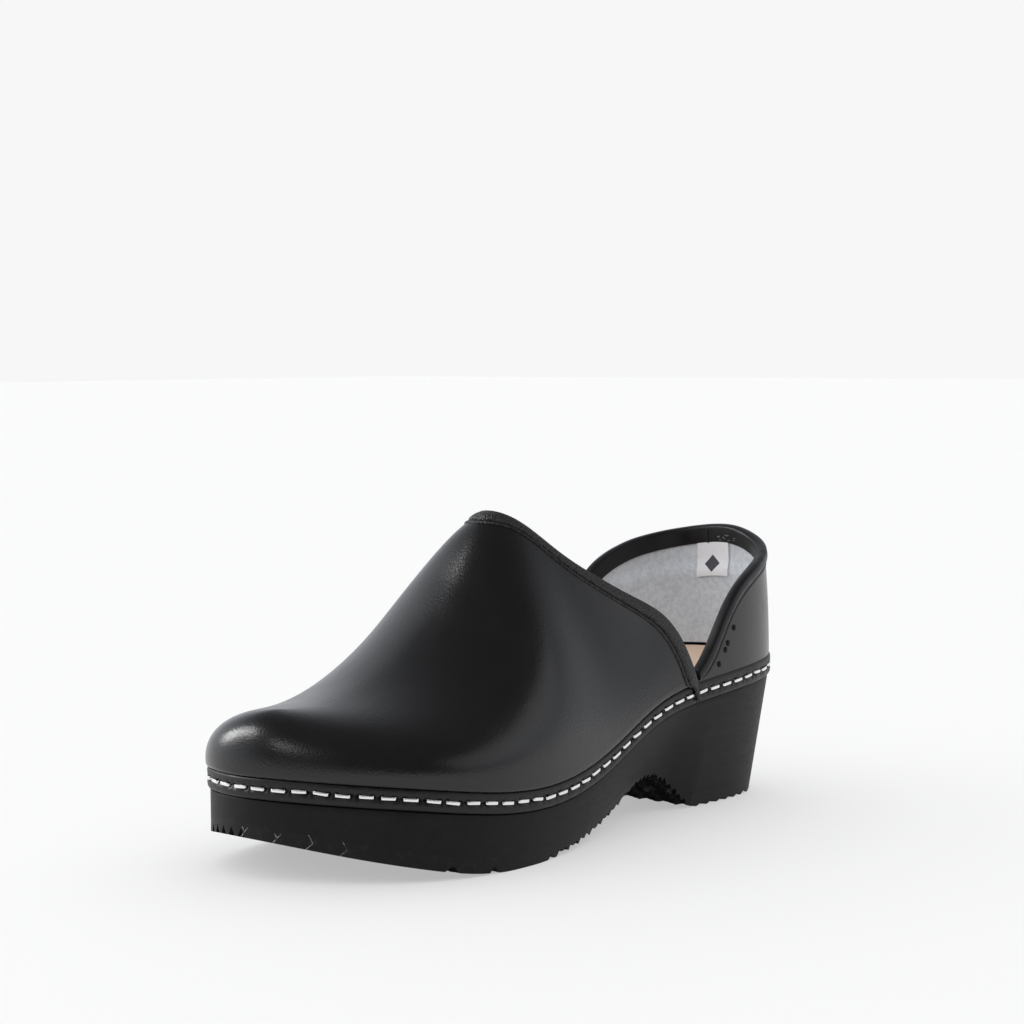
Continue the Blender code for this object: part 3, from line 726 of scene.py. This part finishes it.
def moulded_rubber():
    """Matt rubber with faint dust on its walls. Its downward-facing underside is painted near-black shade
    with a lowered specular, standing in for the shadow under the sole.
    """
    made = Finish("black_moulded_rubber", (0.012, 0.012, 0.0125), 0.6)
    mottle = made.noise(330, 4, 0.65)
    made.roughness(mottle, 0.46, 0.57)
    dusty = made.blended(made.ranged(mottle, 0, 1, 0.5, 0.8), (0.007, 0.007, 0.0075), (0.019, 0.019, 0.0195))
    upright = made.add("SeparateXYZ", {0: made.place["Normal"]}, 2)
    # painted shade: where the normal faces down, walls falls to 0, so the colour turns near-black and the
    # specular drops, whatever light reaches it
    walls = made.ranged(upright, 0, 1, -0.5, -0.38)
    made.specular(made.ranged(walls, 0.02, 0.18))
    made.colour(walls, (0.002, 0.002, 0.002), dusty)
    made.bump(made.noise(1100, 3), 0.35, 0.00012)
    return made.material


def dusty_rubber():
    """Thin mould lines in the rubber that have kept pale dust."""
    made = Finish("dusty_rubber", (0.2, 0.2, 0.21), 0.75)
    speckle = made.ranged(made.noise(1500, 3), 0, 1, 0.4, 0.65)
    made.colour(speckle, (0.05, 0.05, 0.055), (0.34, 0.34, 0.35))
    return made.material


def felt_lining():
    """Pale grey pressed lining with darker specks."""
    made = Finish("pale_grey_lining", (0.5, 0.52, 0.55), 0.92)
    specks = made.ranged(made.noise(520, 4, 0.7), 0, 1, 0.36, 0.6)
    clouds = made.ranged(made.noise(60, 3), 0.75, 1.1, 0.3, 0.7)
    made.colour(made.compute("MULTIPLY", specks, clouds), (0.53, 0.575, 0.625), (0.68, 0.72, 0.77))
    made.fill(made.shader, {"Sheen Weight": 0.25})
    made.bump(made.noise(1300, 4, 0.7), 0.5, 0.0002)
    return made.material


def insole_leather():
    """Undyed tan insole leather."""
    made = Finish("tan_insole_leather", (0.56, 0.4, 0.29), 0.6)
    clouds = made.noise(70, 4, 0.6)
    made.colour(clouds, (0.66, 0.47, 0.35), (0.8, 0.6, 0.46))
    made.roughness(clouds, 0.5, 0.68)
    made.bump(made.cells(1300), 0.35, 0.0001)
    return made.material


def staple_steel():
    """Bright flat wire with fine drawing marks."""
    made = Finish("bright_staple_wire", (0.9, 0.9, 0.9), 0.28, 1.0)
    marks = made.noise(1, 2, stretch=(300, 300, 4000))
    made.roughness(marks, 0.22, 0.4)
    made.colour(marks, (0.82, 0.82, 0.83), (0.95, 0.95, 0.95))
    return made.material


def thread_material(name, colour):
    """Twisted thread, with painted shade that darkens its colour in a fine noise, for the gaps between its
    turns.
    """
    made = Finish(name, colour, 0.7)
    twist_and_painted_shade = made.noise(2600, 2)
    # painted shade: the noise darkens the colour to 0.55 of itself; the same noise also gives the twist's
    # bump
    made.colour(twist_and_painted_shade, tuple(channel * 0.55 for channel in colour), colour)
    made.bump(twist_and_painted_shade, 0.6, 0.0001)
    return made.material


def woven_tape():
    """White woven tape with a small plain diamond in its middle."""
    made = Finish("white_woven_tape", (0.86, 0.87, 0.9), 0.8)
    off_centre = []
    for axis, middle in enumerate((LABEL_WIDTH * MM / 2, LABEL_HEIGHT * MM * 0.33)):
        place = made.add("SeparateXYZ", {0: made.place["UV"]}, axis)
        off_centre.append(made.compute("ABSOLUTE", made.compute("SUBTRACT", place, middle)))
    inside = made.compute("LESS_THAN", made.compute("ADD", *off_centre), LABEL_MARK * MM)
    sockets = {"Vector": made.place["UV"], "Scale": 700, "Distortion": 0.4}
    weave = made.add("TexWave", sockets, "Fac")
    made.colour(inside, made.blended(weave, (0.8, 0.81, 0.85), (0.9, 0.91, 0.94)), (0.06, 0.065, 0.075))
    made.bump(weave, 0.4, 0.0001)
    return made.material


def stiffener_board():
    """Pressed fibre board, hidden between the leather and the lining."""
    made = Finish("pressed_board", (0.03, 0.026, 0.022), 0.85)
    fibres = made.noise(600, 4, 0.7)
    made.colour(fibres, (0.012, 0.011, 0.01), (0.04, 0.034, 0.028))
    made.bump(fibres, 0.4, 0.0001)
    return made.material


def floor_sheet():
    """A matt white acrylic sheet, lit a little from below so that shadows on it stay light."""
    made = Finish("lit_white_acrylic", (0.4, 0.4, 0.4), 0.9)
    made.fill(made.shader, {"Emission Color": (1, 1, 1, 1), "Emission Strength": FLOOR_GLOW})
    made.specular(0.1)
    made.colour(made.noise(3, 2), *FLOOR_TONES)
    return made.material


# ---- the sole ----


def foot_stations(count):
    """Places along the foot from its toe to its heel, closer together at both ends."""
    low, high = FEATHER[:, 1].min(), FEATHER[:, 1].max()
    return low + (high - low) * (1 - np.cos(np.linspace(0, math.pi, count + 1))) / 2


def paired_fractions(pairs):
    """Fractions round the feather line, whose lateral and medial points lie at the same y."""
    lateral, medial = (fraction_at(foot_stations(pairs), side) for side in (True, False))
    return np.concatenate([[0], lateral[1:-1], [HEEL_BACK], medial[-2:0:-1]])


RING = paired_fractions(RING_PAIRS)


def wall_ring(share, lift, inset=0.0):
    """A ring of the sole's side wall, at a share of the way up from the tread, raised by lift above it."""
    y = feather_at(RING)[:, 1]
    taper = spline(WALL_TAPERS, y)
    tread = tread_height(feather_at(RING, -taper)[:, 1])
    wall = welt_height(y) + REBATE_BOTTOM - tread
    rise = lift + (wall - lift) * share
    plan = feather_at(RING, (WALL_OFFSET + taper) * rise / wall - taper - inset)
    return np.column_stack([plan, tread + rise])


def footbed_ring(offset, inward, lift):
    """A ring of the dished footbed, drawn towards the foot's middle line by the share inward."""
    plan = feather_at(RING, offset)
    low, high = FEATHER[:, 1].min() + SPINE_INSET, FEATHER[:, 1].max() - SPINE_INSET
    middle_y = np.clip(plan[:, 1], low, high)
    middle_x = (feather_at(fraction_at(middle_y, True)) + feather_at(fraction_at(middle_y, False)))[:, 0] / 2
    plan = plan + (np.column_stack([middle_x, middle_y]) - plan) * inward
    dish = FOOTBED_DISH * (1 - (1 - inward) ** 2)
    return np.column_stack([plan, welt_height(plan[:, 1]) + WOOD_TOP + lift - dish])


def make_wooden_sole():
    """The block of wood: dished footbed, rebate for the upper, and walls eased at both edges."""
    inner = WALL_OFFSET - REBATE_DEPTH
    rings = [footbed_ring(inner, share, 0) for share in FOOTBED_SHARES[:-1]]
    rings += [footbed_ring(inner - 0.5, 0, 0)]
    rings += [lasted_edge(RING, height, inner) for height in (WOOD_TOP - 0.5, REBATE_BOTTOM)]
    rings += [wall_ring(1.0, WOOD_LIFT, EDGE_EASE), wall_ring(0.985, WOOD_LIFT, EDGE_EASE * 0.3)]
    rings += [wall_ring(share, WOOD_LIFT) for share in (0.96, 0.8, 0.6, 0.4, 0.2, 0.04, 0.0)]
    add_piece("carved_wooden_sole", ring_mesh(rings), BLACK_WOOD, "wooden_sole")


def make_insock():
    """The tan leather on the footbed, with an eased upper edge."""
    edge = WALL_OFFSET - REBATE_DEPTH - INSOCK_INSET
    top = GAP + INSOCK_THICKNESS
    rings = [footbed_ring(edge, share, top) for share in FOOTBED_SHARES]
    rings += [footbed_ring(edge + 0.25, 0, top - 0.3), footbed_ring(edge + 0.25, 0, GAP)]
    rings += [footbed_ring(edge, share, GAP) for share in FOOTBED_SHARES[::-1]]
    add_piece("tan_insock", ring_mesh(rings), TAN_LEATHER, "insock")


def tread_grooves():
    """Every groove across the tread: where it is along the foot, its depth and its half-width."""
    grooves = []
    for start, end, pitch, depth, half_width in TREAD_ZONES:
        grooves += [(y, depth, half_width) for y in np.arange(start, end, pitch)]
    return grooves


def groove_depth(x, y):
    """How deep the tread is cut at a point. The grooves run across the foot in a zigzag."""
    zigzag = ZIGZAG_DEPTH * (2 * np.abs(np.mod(x / ZIGZAG_PERIOD, 1) - 0.5) - 0.5)
    depth = np.zeros(np.shape(x))
    for centre, deepest, half_width in tread_grooves():
        share = GROOVE_STEEPNESS * (1 - np.abs(y + zigzag - centre) / half_width)
        depth = np.maximum(depth, deepest * np.clip(share, 0, 1))
    first, last, spacing, deepest, half_width, reach = TOE_NICKS
    for arc in np.arange(first, last, spacing):
        edge = feather_at(np.array(arc / FEATHER_LENGTH))
        outward = feather_at(np.array(arc / FEATHER_LENGTH), 1.0) - edge
        inwards = (edge[0] - x) * outward[0] + (edge[1] - y) * outward[1]
        sideways = np.abs((x - edge[0]) * outward[1] - (y - edge[1]) * outward[0])
        near = (inwards > -2) & (inwards < 2 * reach)
        nick = deepest * np.clip(1 - sideways / half_width, 0, 1)
        nick = nick * (1 - smoothstep(reach / 2, reach, inwards))
        depth = np.maximum(depth, np.where(near, nick, 0))
    return depth


def make_rubber_outsole():
    """The moulded tread: a wall under the wood, and a grooved underside that serrates its lower edge."""
    ends, top_ends = [], []
    for lateral in (True, False):
        fraction = fraction_at(foot_stations(TREAD_ROWS), lateral)
        y = feather_at(fraction)[:, 1]
        taper = spline(WALL_TAPERS, y)
        wall = welt_height(y) + REBATE_BOTTOM - tread_height(y)
        flare = (WALL_OFFSET + taper) * RUBBER_THICKNESS / wall
        ends.append(feather_at(fraction, -taper))
        top_ends.append(feather_at(fraction, flare - taper))
    across = np.linspace(0, 1, TREAD_COLUMNS)[:, None]
    plan, top_plan = (first[:, None] + (last - first)[:, None] * across for first, last in (ends, top_ends))
    height = tread_height(plan[..., 1])
    cut = groove_depth(plan[..., 0], plan[..., 1])
    risen = (cut / RUBBER_THICKNESS)[..., None]
    under = np.concatenate([plan + (top_plan - plan) * risen, (height + cut)[..., None]], -1)
    top = np.concatenate([top_plan, (height + RUBBER_THICKNESS)[..., None]], -1)
    wall_low, wall_high = under[:, [0, -1]], top[:, [0, -1]]
    mesh = grid_mesh(under)
    grid_mesh(top, mesh=mesh)
    for side in (0, 1):
        levels = np.linspace(0, 1, 7)[:, None]
        wall = wall_low[:, side, None] + (wall_high - wall_low)[:, side, None] * levels
        grid_mesh(wall, mesh=mesh)
    for row in (0, -1):
        grid_mesh(np.stack([under[row], top[row]]), mesh=mesh)
    add_piece("ridged_rubber_outsole", mesh, RUBBER, "rubber_outsole", 30)


def wall_point(arc, height):
    """A point of the outsole's wall, at an arc length from the toe tip and a height over the tread."""
    fraction = np.array(arc / FEATHER_LENGTH)
    plan = feather_at(fraction, 0.05 - spline(WALL_TAPERS, feather_at(fraction)[..., 1]))
    return np.array([*plan, tread_height(plan[..., 1]) + height])


def make_mould_lines():
    """Thin pale lines low on the toe's outer wall, forked near the tip and bent farther back."""
    mesh = bmesh.new()
    for foot, radius, kind in MOULD_LINES:
        for line in kind:
            points = [wall_point(foot + along, MOULD_LINE_FOOT + up) for along, up in line]
            add_cord(mesh, points, radius)
    add_piece("mould_lines", mesh, DUSTY_RUBBER)


# ---- the upper ----


def make_vamp():
    """The vamp's leather and lining, which goes in under the toe puff."""
    along = np.linspace(0, 1, VAMP_STATIONS)
    skin = vamp_skin(along, VAMP_UP)
    faces = []
    for depth in (0.0, LEATHER):
        lateral = lasted_rows(along * VAMP_LATERAL, depth, VAMP_OFFSET)
        medial = lasted_rows(1 - along * (1 - VAMP_MEDIAL), depth, VAMP_OFFSET)
        faces.append(np.concatenate([lateral, sunk(skin, depth, True), medial[:, ::-1]], axis=1))
    sheet = shell_mesh(*faces, closed_toe=True)
    add_piece("vamp_upper", sheet, BLACK_LEATHER, "vamp_leather")

    over_puff = 1 - smoothstep(TOE_PUFF_END, TOE_PUFF_END + TOE_PUFF_EASE, along)
    depth = LEATHER + GAP + (STIFFENER + GAP) * over_puff[:, None]
    sheet = sheet_mesh(skin, depth, LINING, closed_toe=True)
    add_piece("vamp_felt_lining", sheet, FELT, "vamp_lining")


def make_quarter():
    """The quarter's leather and lining."""
    across = np.linspace(-1, 1, QUARTER_STATIONS)
    skin = quarter_skin(across, QUARTER_UP)
    faces = []
    for depth in (0.0, LEATHER):
        lasted = lasted_rows(quarter_fraction(across), depth, QUARTER_OFFSET)
        faces.append(np.concatenate([lasted, sunk(skin, depth)], axis=1))
    add_piece("quarter_upper", shell_mesh(*faces), BLACK_LEATHER, "quarter_leather")

    up = LINING_FOOT + (1 - LINING_FOOT) * QUARTER_UP
    skin = quarter_skin(across, up)
    depth = LEATHER + GAP + counter_cover(across, up)
    sheet = sheet_mesh(skin, depth, LINING)
    add_piece("quarter_felt_lining", sheet, FELT, "quarter_lining")


def binding_places(outer):
    """A binding's whole section: distance in from the topline, and height off the leather's outer face."""
    lift = outer[-1][1]
    reach = (lift - INNER_SIDE + BINDING_INNER_LIFT) / 2
    turns = np.radians(np.arange(15, 180, 15))
    over = [(-BINDING_RISE * math.sin(a), lift - reach + reach * math.cos(a)) for a in turns]
    face = INNER_SIDE - BINDING_INNER_LIFT
    inner = [(w, face) for w in (0.3, 2.2, 4.1, 5.6)]
    inner += [(BINDING_INNER_WIDTH - 0.3, face + 0.1), (BINDING_INNER_WIDTH, INNER_SIDE - 0.3)]
    back = [(BINDING_INNER_WIDTH - 0.3, INNER_SIDE - 0.05), (0.0, INNER_SIDE - 0.05), (0.0, 0.0)]
    return [*outer, *over, *inner, *back]


def point_off(edge, width, lift):
    """A row of points at a distance in from an edge and a height off the leather."""
    here, into, normal = skin_frame(edge, max(width, 0.0))
    return here + into * min(width, 0.0) + normal * lift


def with_tails(grid):
    """A binding's rows, carried on past both ends by a narrow tail that runs down over the welt."""
    tails = []
    for end, inner in ((0, 1), (-1, -2)):
        edge = grid[end, -1]
        down = unit(edge - grid[inner, -1])
        tails.append([edge + (grid[end] - edge) * share + down * reach for reach, share in TAIL_ROWS])
    return np.concatenate([tails[0][::-1], grid, tails[1]])


def make_binding(name, node, edge, outer, material, tailed=False):
    """A strip folded over a topline."""
    grid = np.stack([point_off(edge, width, lift) for width, lift in binding_places(outer)], axis=1)
    grid = with_tails(grid) if tailed else grid
    mesh = grid_mesh(grid, wrap_across=True, cap_ends=True)
    add_piece(name, mesh, material, node)


def make_stitches(name, edge, width):
    """The row of stitches that holds a binding down, at a distance in from the topline."""
    line = point_off(edge, width, STITCH_RADIUS * 0.9)
    run = distance_along(line)
    mesh = bmesh.new()
    for start in np.arange(STITCH_GAP, run[-1] - STITCH_LENGTH, STITCH_LENGTH + STITCH_GAP):
        ends = [[np.interp(s, run, line[:, k]) for k in range(3)] for s in (start, start + STITCH_LENGTH)]
        capsule(mesh, *ends, STITCH_RADIUS)
    add_piece(name, mesh, BLACK_THREAD)


def make_lasting_tacks():
    """Short thread tacks beside the quarter's binding, on each side."""
    for side, sign in (("lateral", -1), ("medial", 1)):
        mesh = bmesh.new()
        for reach in TACK_REACHES:
            across = sign * np.array([reach + 0.01, reach, reach - 0.01])
            frame = skin_frame(partial(quarter_border, across=across), TACK_INSET)
            here, into, normal = (rows[1] for rows in frame)
            middle = here + normal * np.sign(normal @ np.array([-sign, 0, 0])) * 0.05
            half = into * TACK_LENGTH / 2
            capsule(mesh, middle - half, middle + half, TACK_RADIUS, 8)
        add_piece(f"lasting_tacks_{side}", mesh, BLACK_THREAD)


# ---- the welt and its staples ----


def staple_arcs():
    """The middles of the vamp's staples and of the quarter's, as lengths along the feather line."""
    start, lateral, end = WELT_ENDS
    pitch = VAMP_STAPLE_PITCH
    vamp = np.arange(lateral - pitch / 2, start + pitch / 3, -pitch)
    pitch = QUARTER_STAPLE_PITCH
    return vamp, np.arange(lateral + pitch / 2, end - pitch / 3, pitch)


def make_welt(part, start, end, top, arcs):
    """A rounded strip, pulled in along its staples and dented where their legs go in."""
    gap = 0.2
    run = np.linspace(start + gap, end - gap, int((end - start) / WELT_STEP))
    profile = [*WELT_SECTION, *((h * top / WELT_TOP, out) for h, out in WELT_UPPER_SECTION)]
    nearest = np.abs(run[:, None] - arcs).min(1)
    dented = np.exp(-(((nearest - STAPLE_LENGTH / 2) / DIMPLE_RADIUS) ** 2))
    columns = []
    for height, out in profile:
        pressed = np.exp(-((height / (0.8 * DIMPLE_RADIUS)) ** 2)) * (out > 1)
        offset = out - pressed * (WELT_PRESS + DIMPLE_DEPTH * dented)
        columns.append(lasted_edge(run / FEATHER_LENGTH, height, offset))
    mesh = grid_mesh(np.stack(columns, axis=1), wrap_across=True, cap_ends=True)
    add_piece(f"{part}_rolled_welt", mesh, WELT_LEATHER, f"{part}_welt")


def make_welts():
    tops = (WELT_TOP, WELT_TOP + QUARTER_WELT_RISE)
    for args in zip(PARTS, WELT_ENDS, WELT_ENDS[1:], tops, staple_arcs()):
        make_welt(*args)


def staple_mesh_points():
    """A bent flat wire: its crown along x, its legs towards +y, and its flat side up z."""
    half = STAPLE_LENGTH / 2
    bend = np.radians(np.linspace(0, 90, 5))
    corner = [(half - STAPLE_BEND * (1 - math.sin(a)), STAPLE_BEND * (1 - math.cos(a))) for a in bend]
    half_path = [(0.0, -0.05), *corner, (half, STAPLE_BEND + STAPLE_LEG)]
    path = np.array([(-x, y) for x, y in half_path[:0:-1]] + half_path)
    turn = unit(np.gradient(path, axis=0))
    side = np.column_stack([-turn[:, 1], turn[:, 0]])
    rings = []
    for angle in np.radians(np.arange(0, 360, 30)):
        across, up = (np.sign(v) * abs(v) ** 0.6 for v in (math.cos(angle), math.sin(angle)))
        across, up = across * STAPLE_WIRE / 2, up * STAPLE_WIDTH / 2
        rings.append(np.column_stack([path + side * across, np.full(len(path), up)]))
    return np.stack(rings, axis=1)


def make_staple(name, node, arc, chance):
    """One staple, driven through the welt a little unevenly."""
    out = STAPLE_OUT + chance.normal(0, STAPLE_VARIATION)
    here, front, back = (lasted_edge((arc + s) / FEATHER_LENGTH, 0.0, out) for s in (0, 0.5, -0.5))
    along = unit(front - back)
    inward = unit(np.cross((0, 0, 1), along))
    upward = np.cross(along, inward)
    tilt = math.radians(chance.normal(0, STAPLE_TILT))
    lengthways = along * math.cos(tilt) + upward * math.sin(tilt)
    upright = upward * math.cos(tilt) - along * math.sin(tilt)
    points = STAPLE_POINTS * (1 + chance.normal(0, STAPLE_VARIATION), 1, 1)
    points = points + (chance.normal(0, STAPLE_DRIFT), 0, chance.normal(0, STAPLE_DRIFT))
    points = points @ np.stack([lengthways, inward, upright]) + here
    mesh = grid_mesh(points, wrap_across=True, cap_ends=True)
    add_piece(name, mesh, STEEL, node)


def make_staples():
    """Every staple of the vamp and the quarter; the CAD part holds the lateral ones and the quarter's."""
    chance = np.random.default_rng(7)
    for part, arcs, held in zip(PARTS, staple_arcs(), (LATERAL_STAPLES, QUARTER_STAPLES)):
        for k, arc in enumerate(arcs, 1):
            node = f"{part}_staple_{k:02d}" if k <= held else None
            make_staple(f"{part}_wire_staple_{k:02d}", node, arc, chance)


# ---- inside the heel ----


def make_label():
    """A folded white tape, sewn under the binding's inner face at the back of the heel."""
    spread = (QUARTER_MEDIAL - HEEL_BACK) * FEATHER_LENGTH
    across = LABEL_START + np.linspace(0, LABEL_WIDTH, 24) / spread
    drop = BINDING_INNER_WIDTH - 1.2 + np.linspace(LABEL_HEIGHT, 0, 24)
    skin = np.stack([quarter_border(width, across) for width in drop], 1)
    curl = LABEL_CURL * smoothstep(0.3, 1, np.linspace(1, 0, 24)) * np.linspace(0.2, 1, 24)[:, None]
    depth = counter_cover(across, 1 - drop / QUARTER_TOPS[1][1]) - INNER_SIDE + 0.15 + curl
    sheet = shell_mesh(sunk(skin, depth + LABEL_THICKNESS), sunk(skin, depth))
    add_piece("folded_tape_label", sheet, WHITE_TAPE, "woven_label")


def make_back_tack():
    """A few turns of pale thread where the binding's ends were sewn together, inside the heel."""
    mesh = bmesh.new()
    chance = np.random.default_rng(3)
    lift = INNER_SIDE - BINDING_INNER_LIFT - 0.08
    for _ in range(BACK_TACK_STITCHES):
        start = BACK_TACK_AT + chance.uniform(-BACK_TACK_SPREAD, BACK_TACK_SPREAD)
        across = np.linspace(start, start - 0.012, 3)
        width = chance.uniform(*BACK_TACK_WIDTHS)
        row = point_off(partial(quarter_border, across=across), width, lift)
        capsule(mesh, row[0], row[-1] + (0, 0, chance.uniform(-0.8, 0.8)), BACK_TACK_RADIUS)
    add_piece("binding_back_tack", mesh, PALE_THREAD)


def make_splice():
    """The ridge where the quarter binding's end is folded over its start, on the side inside the heel."""
    mesh = bmesh.new()
    lift = INNER_SIDE - BINDING_INNER_LIFT + 0.12
    across = SPLICE_AT + np.array([0.005, 0.0, -0.005])
    edge = partial(quarter_border, across=across)
    points = [point_off(edge, width, lift)[1] for width in SPLICE_WIDTHS]
    add_cord(mesh, points, SPLICE_RADIUS, 10)
    add_piece("binding_splice", mesh, ROLLED)


# ---- the other hidden pieces ----


def make_stiffeners():
    """The toe puff and the heel counter, which lie between the leather and the lining."""
    along = np.linspace(0, TOE_PUFF_END, 30)
    skin = vamp_skin(along, VAMP_UP[::3])
    depth = LEATHER + GAP
    sheet = sheet_mesh(skin, depth, STIFFENER, closed_toe=True)
    add_piece("toe_puff_board", sheet, BOARD, "toe_puff")
    across = np.linspace(-COUNTER_REACH, COUNTER_REACH, 60)
    skin = quarter_skin(across, np.linspace(0, COUNTER_HEIGHT, 12))
    sheet = sheet_mesh(skin, depth, STIFFENER)
    add_piece("heel_counter_board", sheet, BOARD, "heel_counter")


# ---- camera, light and stage ----


def make_camera():
    """The camera, a little turned off its target, and the direction from the clog to it."""
    azimuth, elevation = math.radians(VIEW_AZIMUTH), math.radians(VIEW_ELEVATION)
    back = Matrix.Rotation(azimuth, 3, "Z") @ Vector((0, -math.cos(elevation), math.sin(elevation)))
    right = Vector((math.cos(azimuth), math.sin(azimuth), 0))
    turn = Matrix((right, back.cross(right), back)).transposed()
    for axis, angle in VIEW_TURNS:
        turn = turn @ Matrix.Rotation(math.radians(angle), 3, axis)
    data = bpy.data.cameras.new("view")
    data.lens = FOCAL_LENGTH
    data.sensor_width = 36
    camera = add_object("view", data)
    place = (Vector(VIEW_TARGET) + back * VIEW_DISTANCE) * MM
    camera.matrix_world = Matrix.Translation(place) @ turn.to_4x4()
    bpy.context.scene.camera = camera
    return back


def add_light(name, kind, direction, distance, power):
    """A light that faces the clog from a direction."""
    data = bpy.data.lights.new(name, kind)
    data.energy = power
    light = add_object(name, data)
    direction = Vector(direction).normalized()
    light.location = direction * distance + Vector((0, 0, LIGHT_TARGET))
    light.rotation_euler = direction.to_track_quat("Z", "Y").to_euler()
    return light


def make_lights():
    """Windows that give the leather its shine, and a soft dome that lights every surface evenly."""
    for direction, distance, size, tilt, power in WINDOWS:
        window = add_light("window", "AREA", direction, distance, power)
        window.data.shape = "RECTANGLE"
        window.data.size, window.data.size_y = size
        window.rotation_euler.rotate_axis("Z", math.radians(tilt))
        window.visible_diffuse = False
    dome = add_light("dome", "SUN", DOME_DIRECTION, 3.0, DOME_STRENGTH)
    dome.data.angle = math.radians(DOME_ANGLE)
    dome.visible_glossy = False


def make_room(towards_camera):
    """White walls, a dark ceiling and a dark room behind the camera, which keep the leather black."""
    world = bpy.data.worlds.new("studio")
    world.use_nodes = True
    made = Nodes(world.node_tree)
    shares = []
    for centre, (start, end) in ((CEILING_CENTRE, CEILING_EDGE), (towards_camera, ROOM_EDGE)):
        sockets = {0: made.place["Generated"], 1: tuple(centre)}
        facing = made.add("VectorMath", sockets, "Value", operation="DOT_PRODUCT")
        sockets = {0: facing, 1: start, 2: end}
        shares.append(made.add("MapRange", sockets, interpolation_type="SMOOTHSTEP"))
    walls = made.blended(shares[0], WALLS, (CEILING,) * 3)
    room = made.blended(shares[1], walls, (ROOM_BEHIND_CAMERA,) * 3)
    seen = made.add("LightPath", {}, "Is Camera Ray")
    made.fill(world.node_tree.nodes["Background"], {"Color": made.blended(seen, room, SURROUND)})
    bpy.context.scene.world = world


def make_floor():
    """The sheet that the clog stands on."""
    corners = FLOOR_REACH * np.array((((-1, -1, 0), (1, -1, 0)), ((-1, 1, 0), (1, 1, 0))))
    add_mesh("studio_floor", grid_mesh(corners), ACRYLIC)


# ---- build ----

BLACK_LEATHER = smooth_leather()
PEBBLED = pebbled_leather()
ROLLED = rolled_leather()
WELT_LEATHER = welt_leather()
BLACK_WOOD = stained_wood()
RUBBER = moulded_rubber()
DUSTY_RUBBER = dusty_rubber()
FELT = felt_lining()
TAN_LEATHER = insole_leather()
STEEL = staple_steel()
WHITE_TAPE = woven_tape()
BOARD = stiffener_board()
ACRYLIC = floor_sheet()
BLACK_THREAD = thread_material("black_thread", (0.005, 0.005, 0.0055))
PALE_THREAD = thread_material("pale_thread", (0.3, 0.31, 0.33))
STAPLE_POINTS = staple_mesh_points()

make_wooden_sole()
make_insock()
make_rubber_outsole()
make_mould_lines()
make_vamp()
make_quarter()
make_stiffeners()
make_binding("vamp_rolled_binding", "vamp_binding", vamp_border, BINDING_SECTION, PEBBLED, True)
make_binding("quarter_rolled_binding", "quarter_binding", quarter_border, ROLLED_SECTION, ROLLED)
make_stitches("vamp_binding_stitches", vamp_border, BINDING_STITCH_LINE)
make_stitches("quarter_binding_stitches", quarter_border, ROLLED_STITCH_LINE)
make_lasting_tacks()
make_back_tack()
make_splice()
make_label()
make_welts()
make_staples()

make_floor()
make_room(make_camera())
make_lights()
bpy.context.scene.view_settings.view_transform = "Standard"
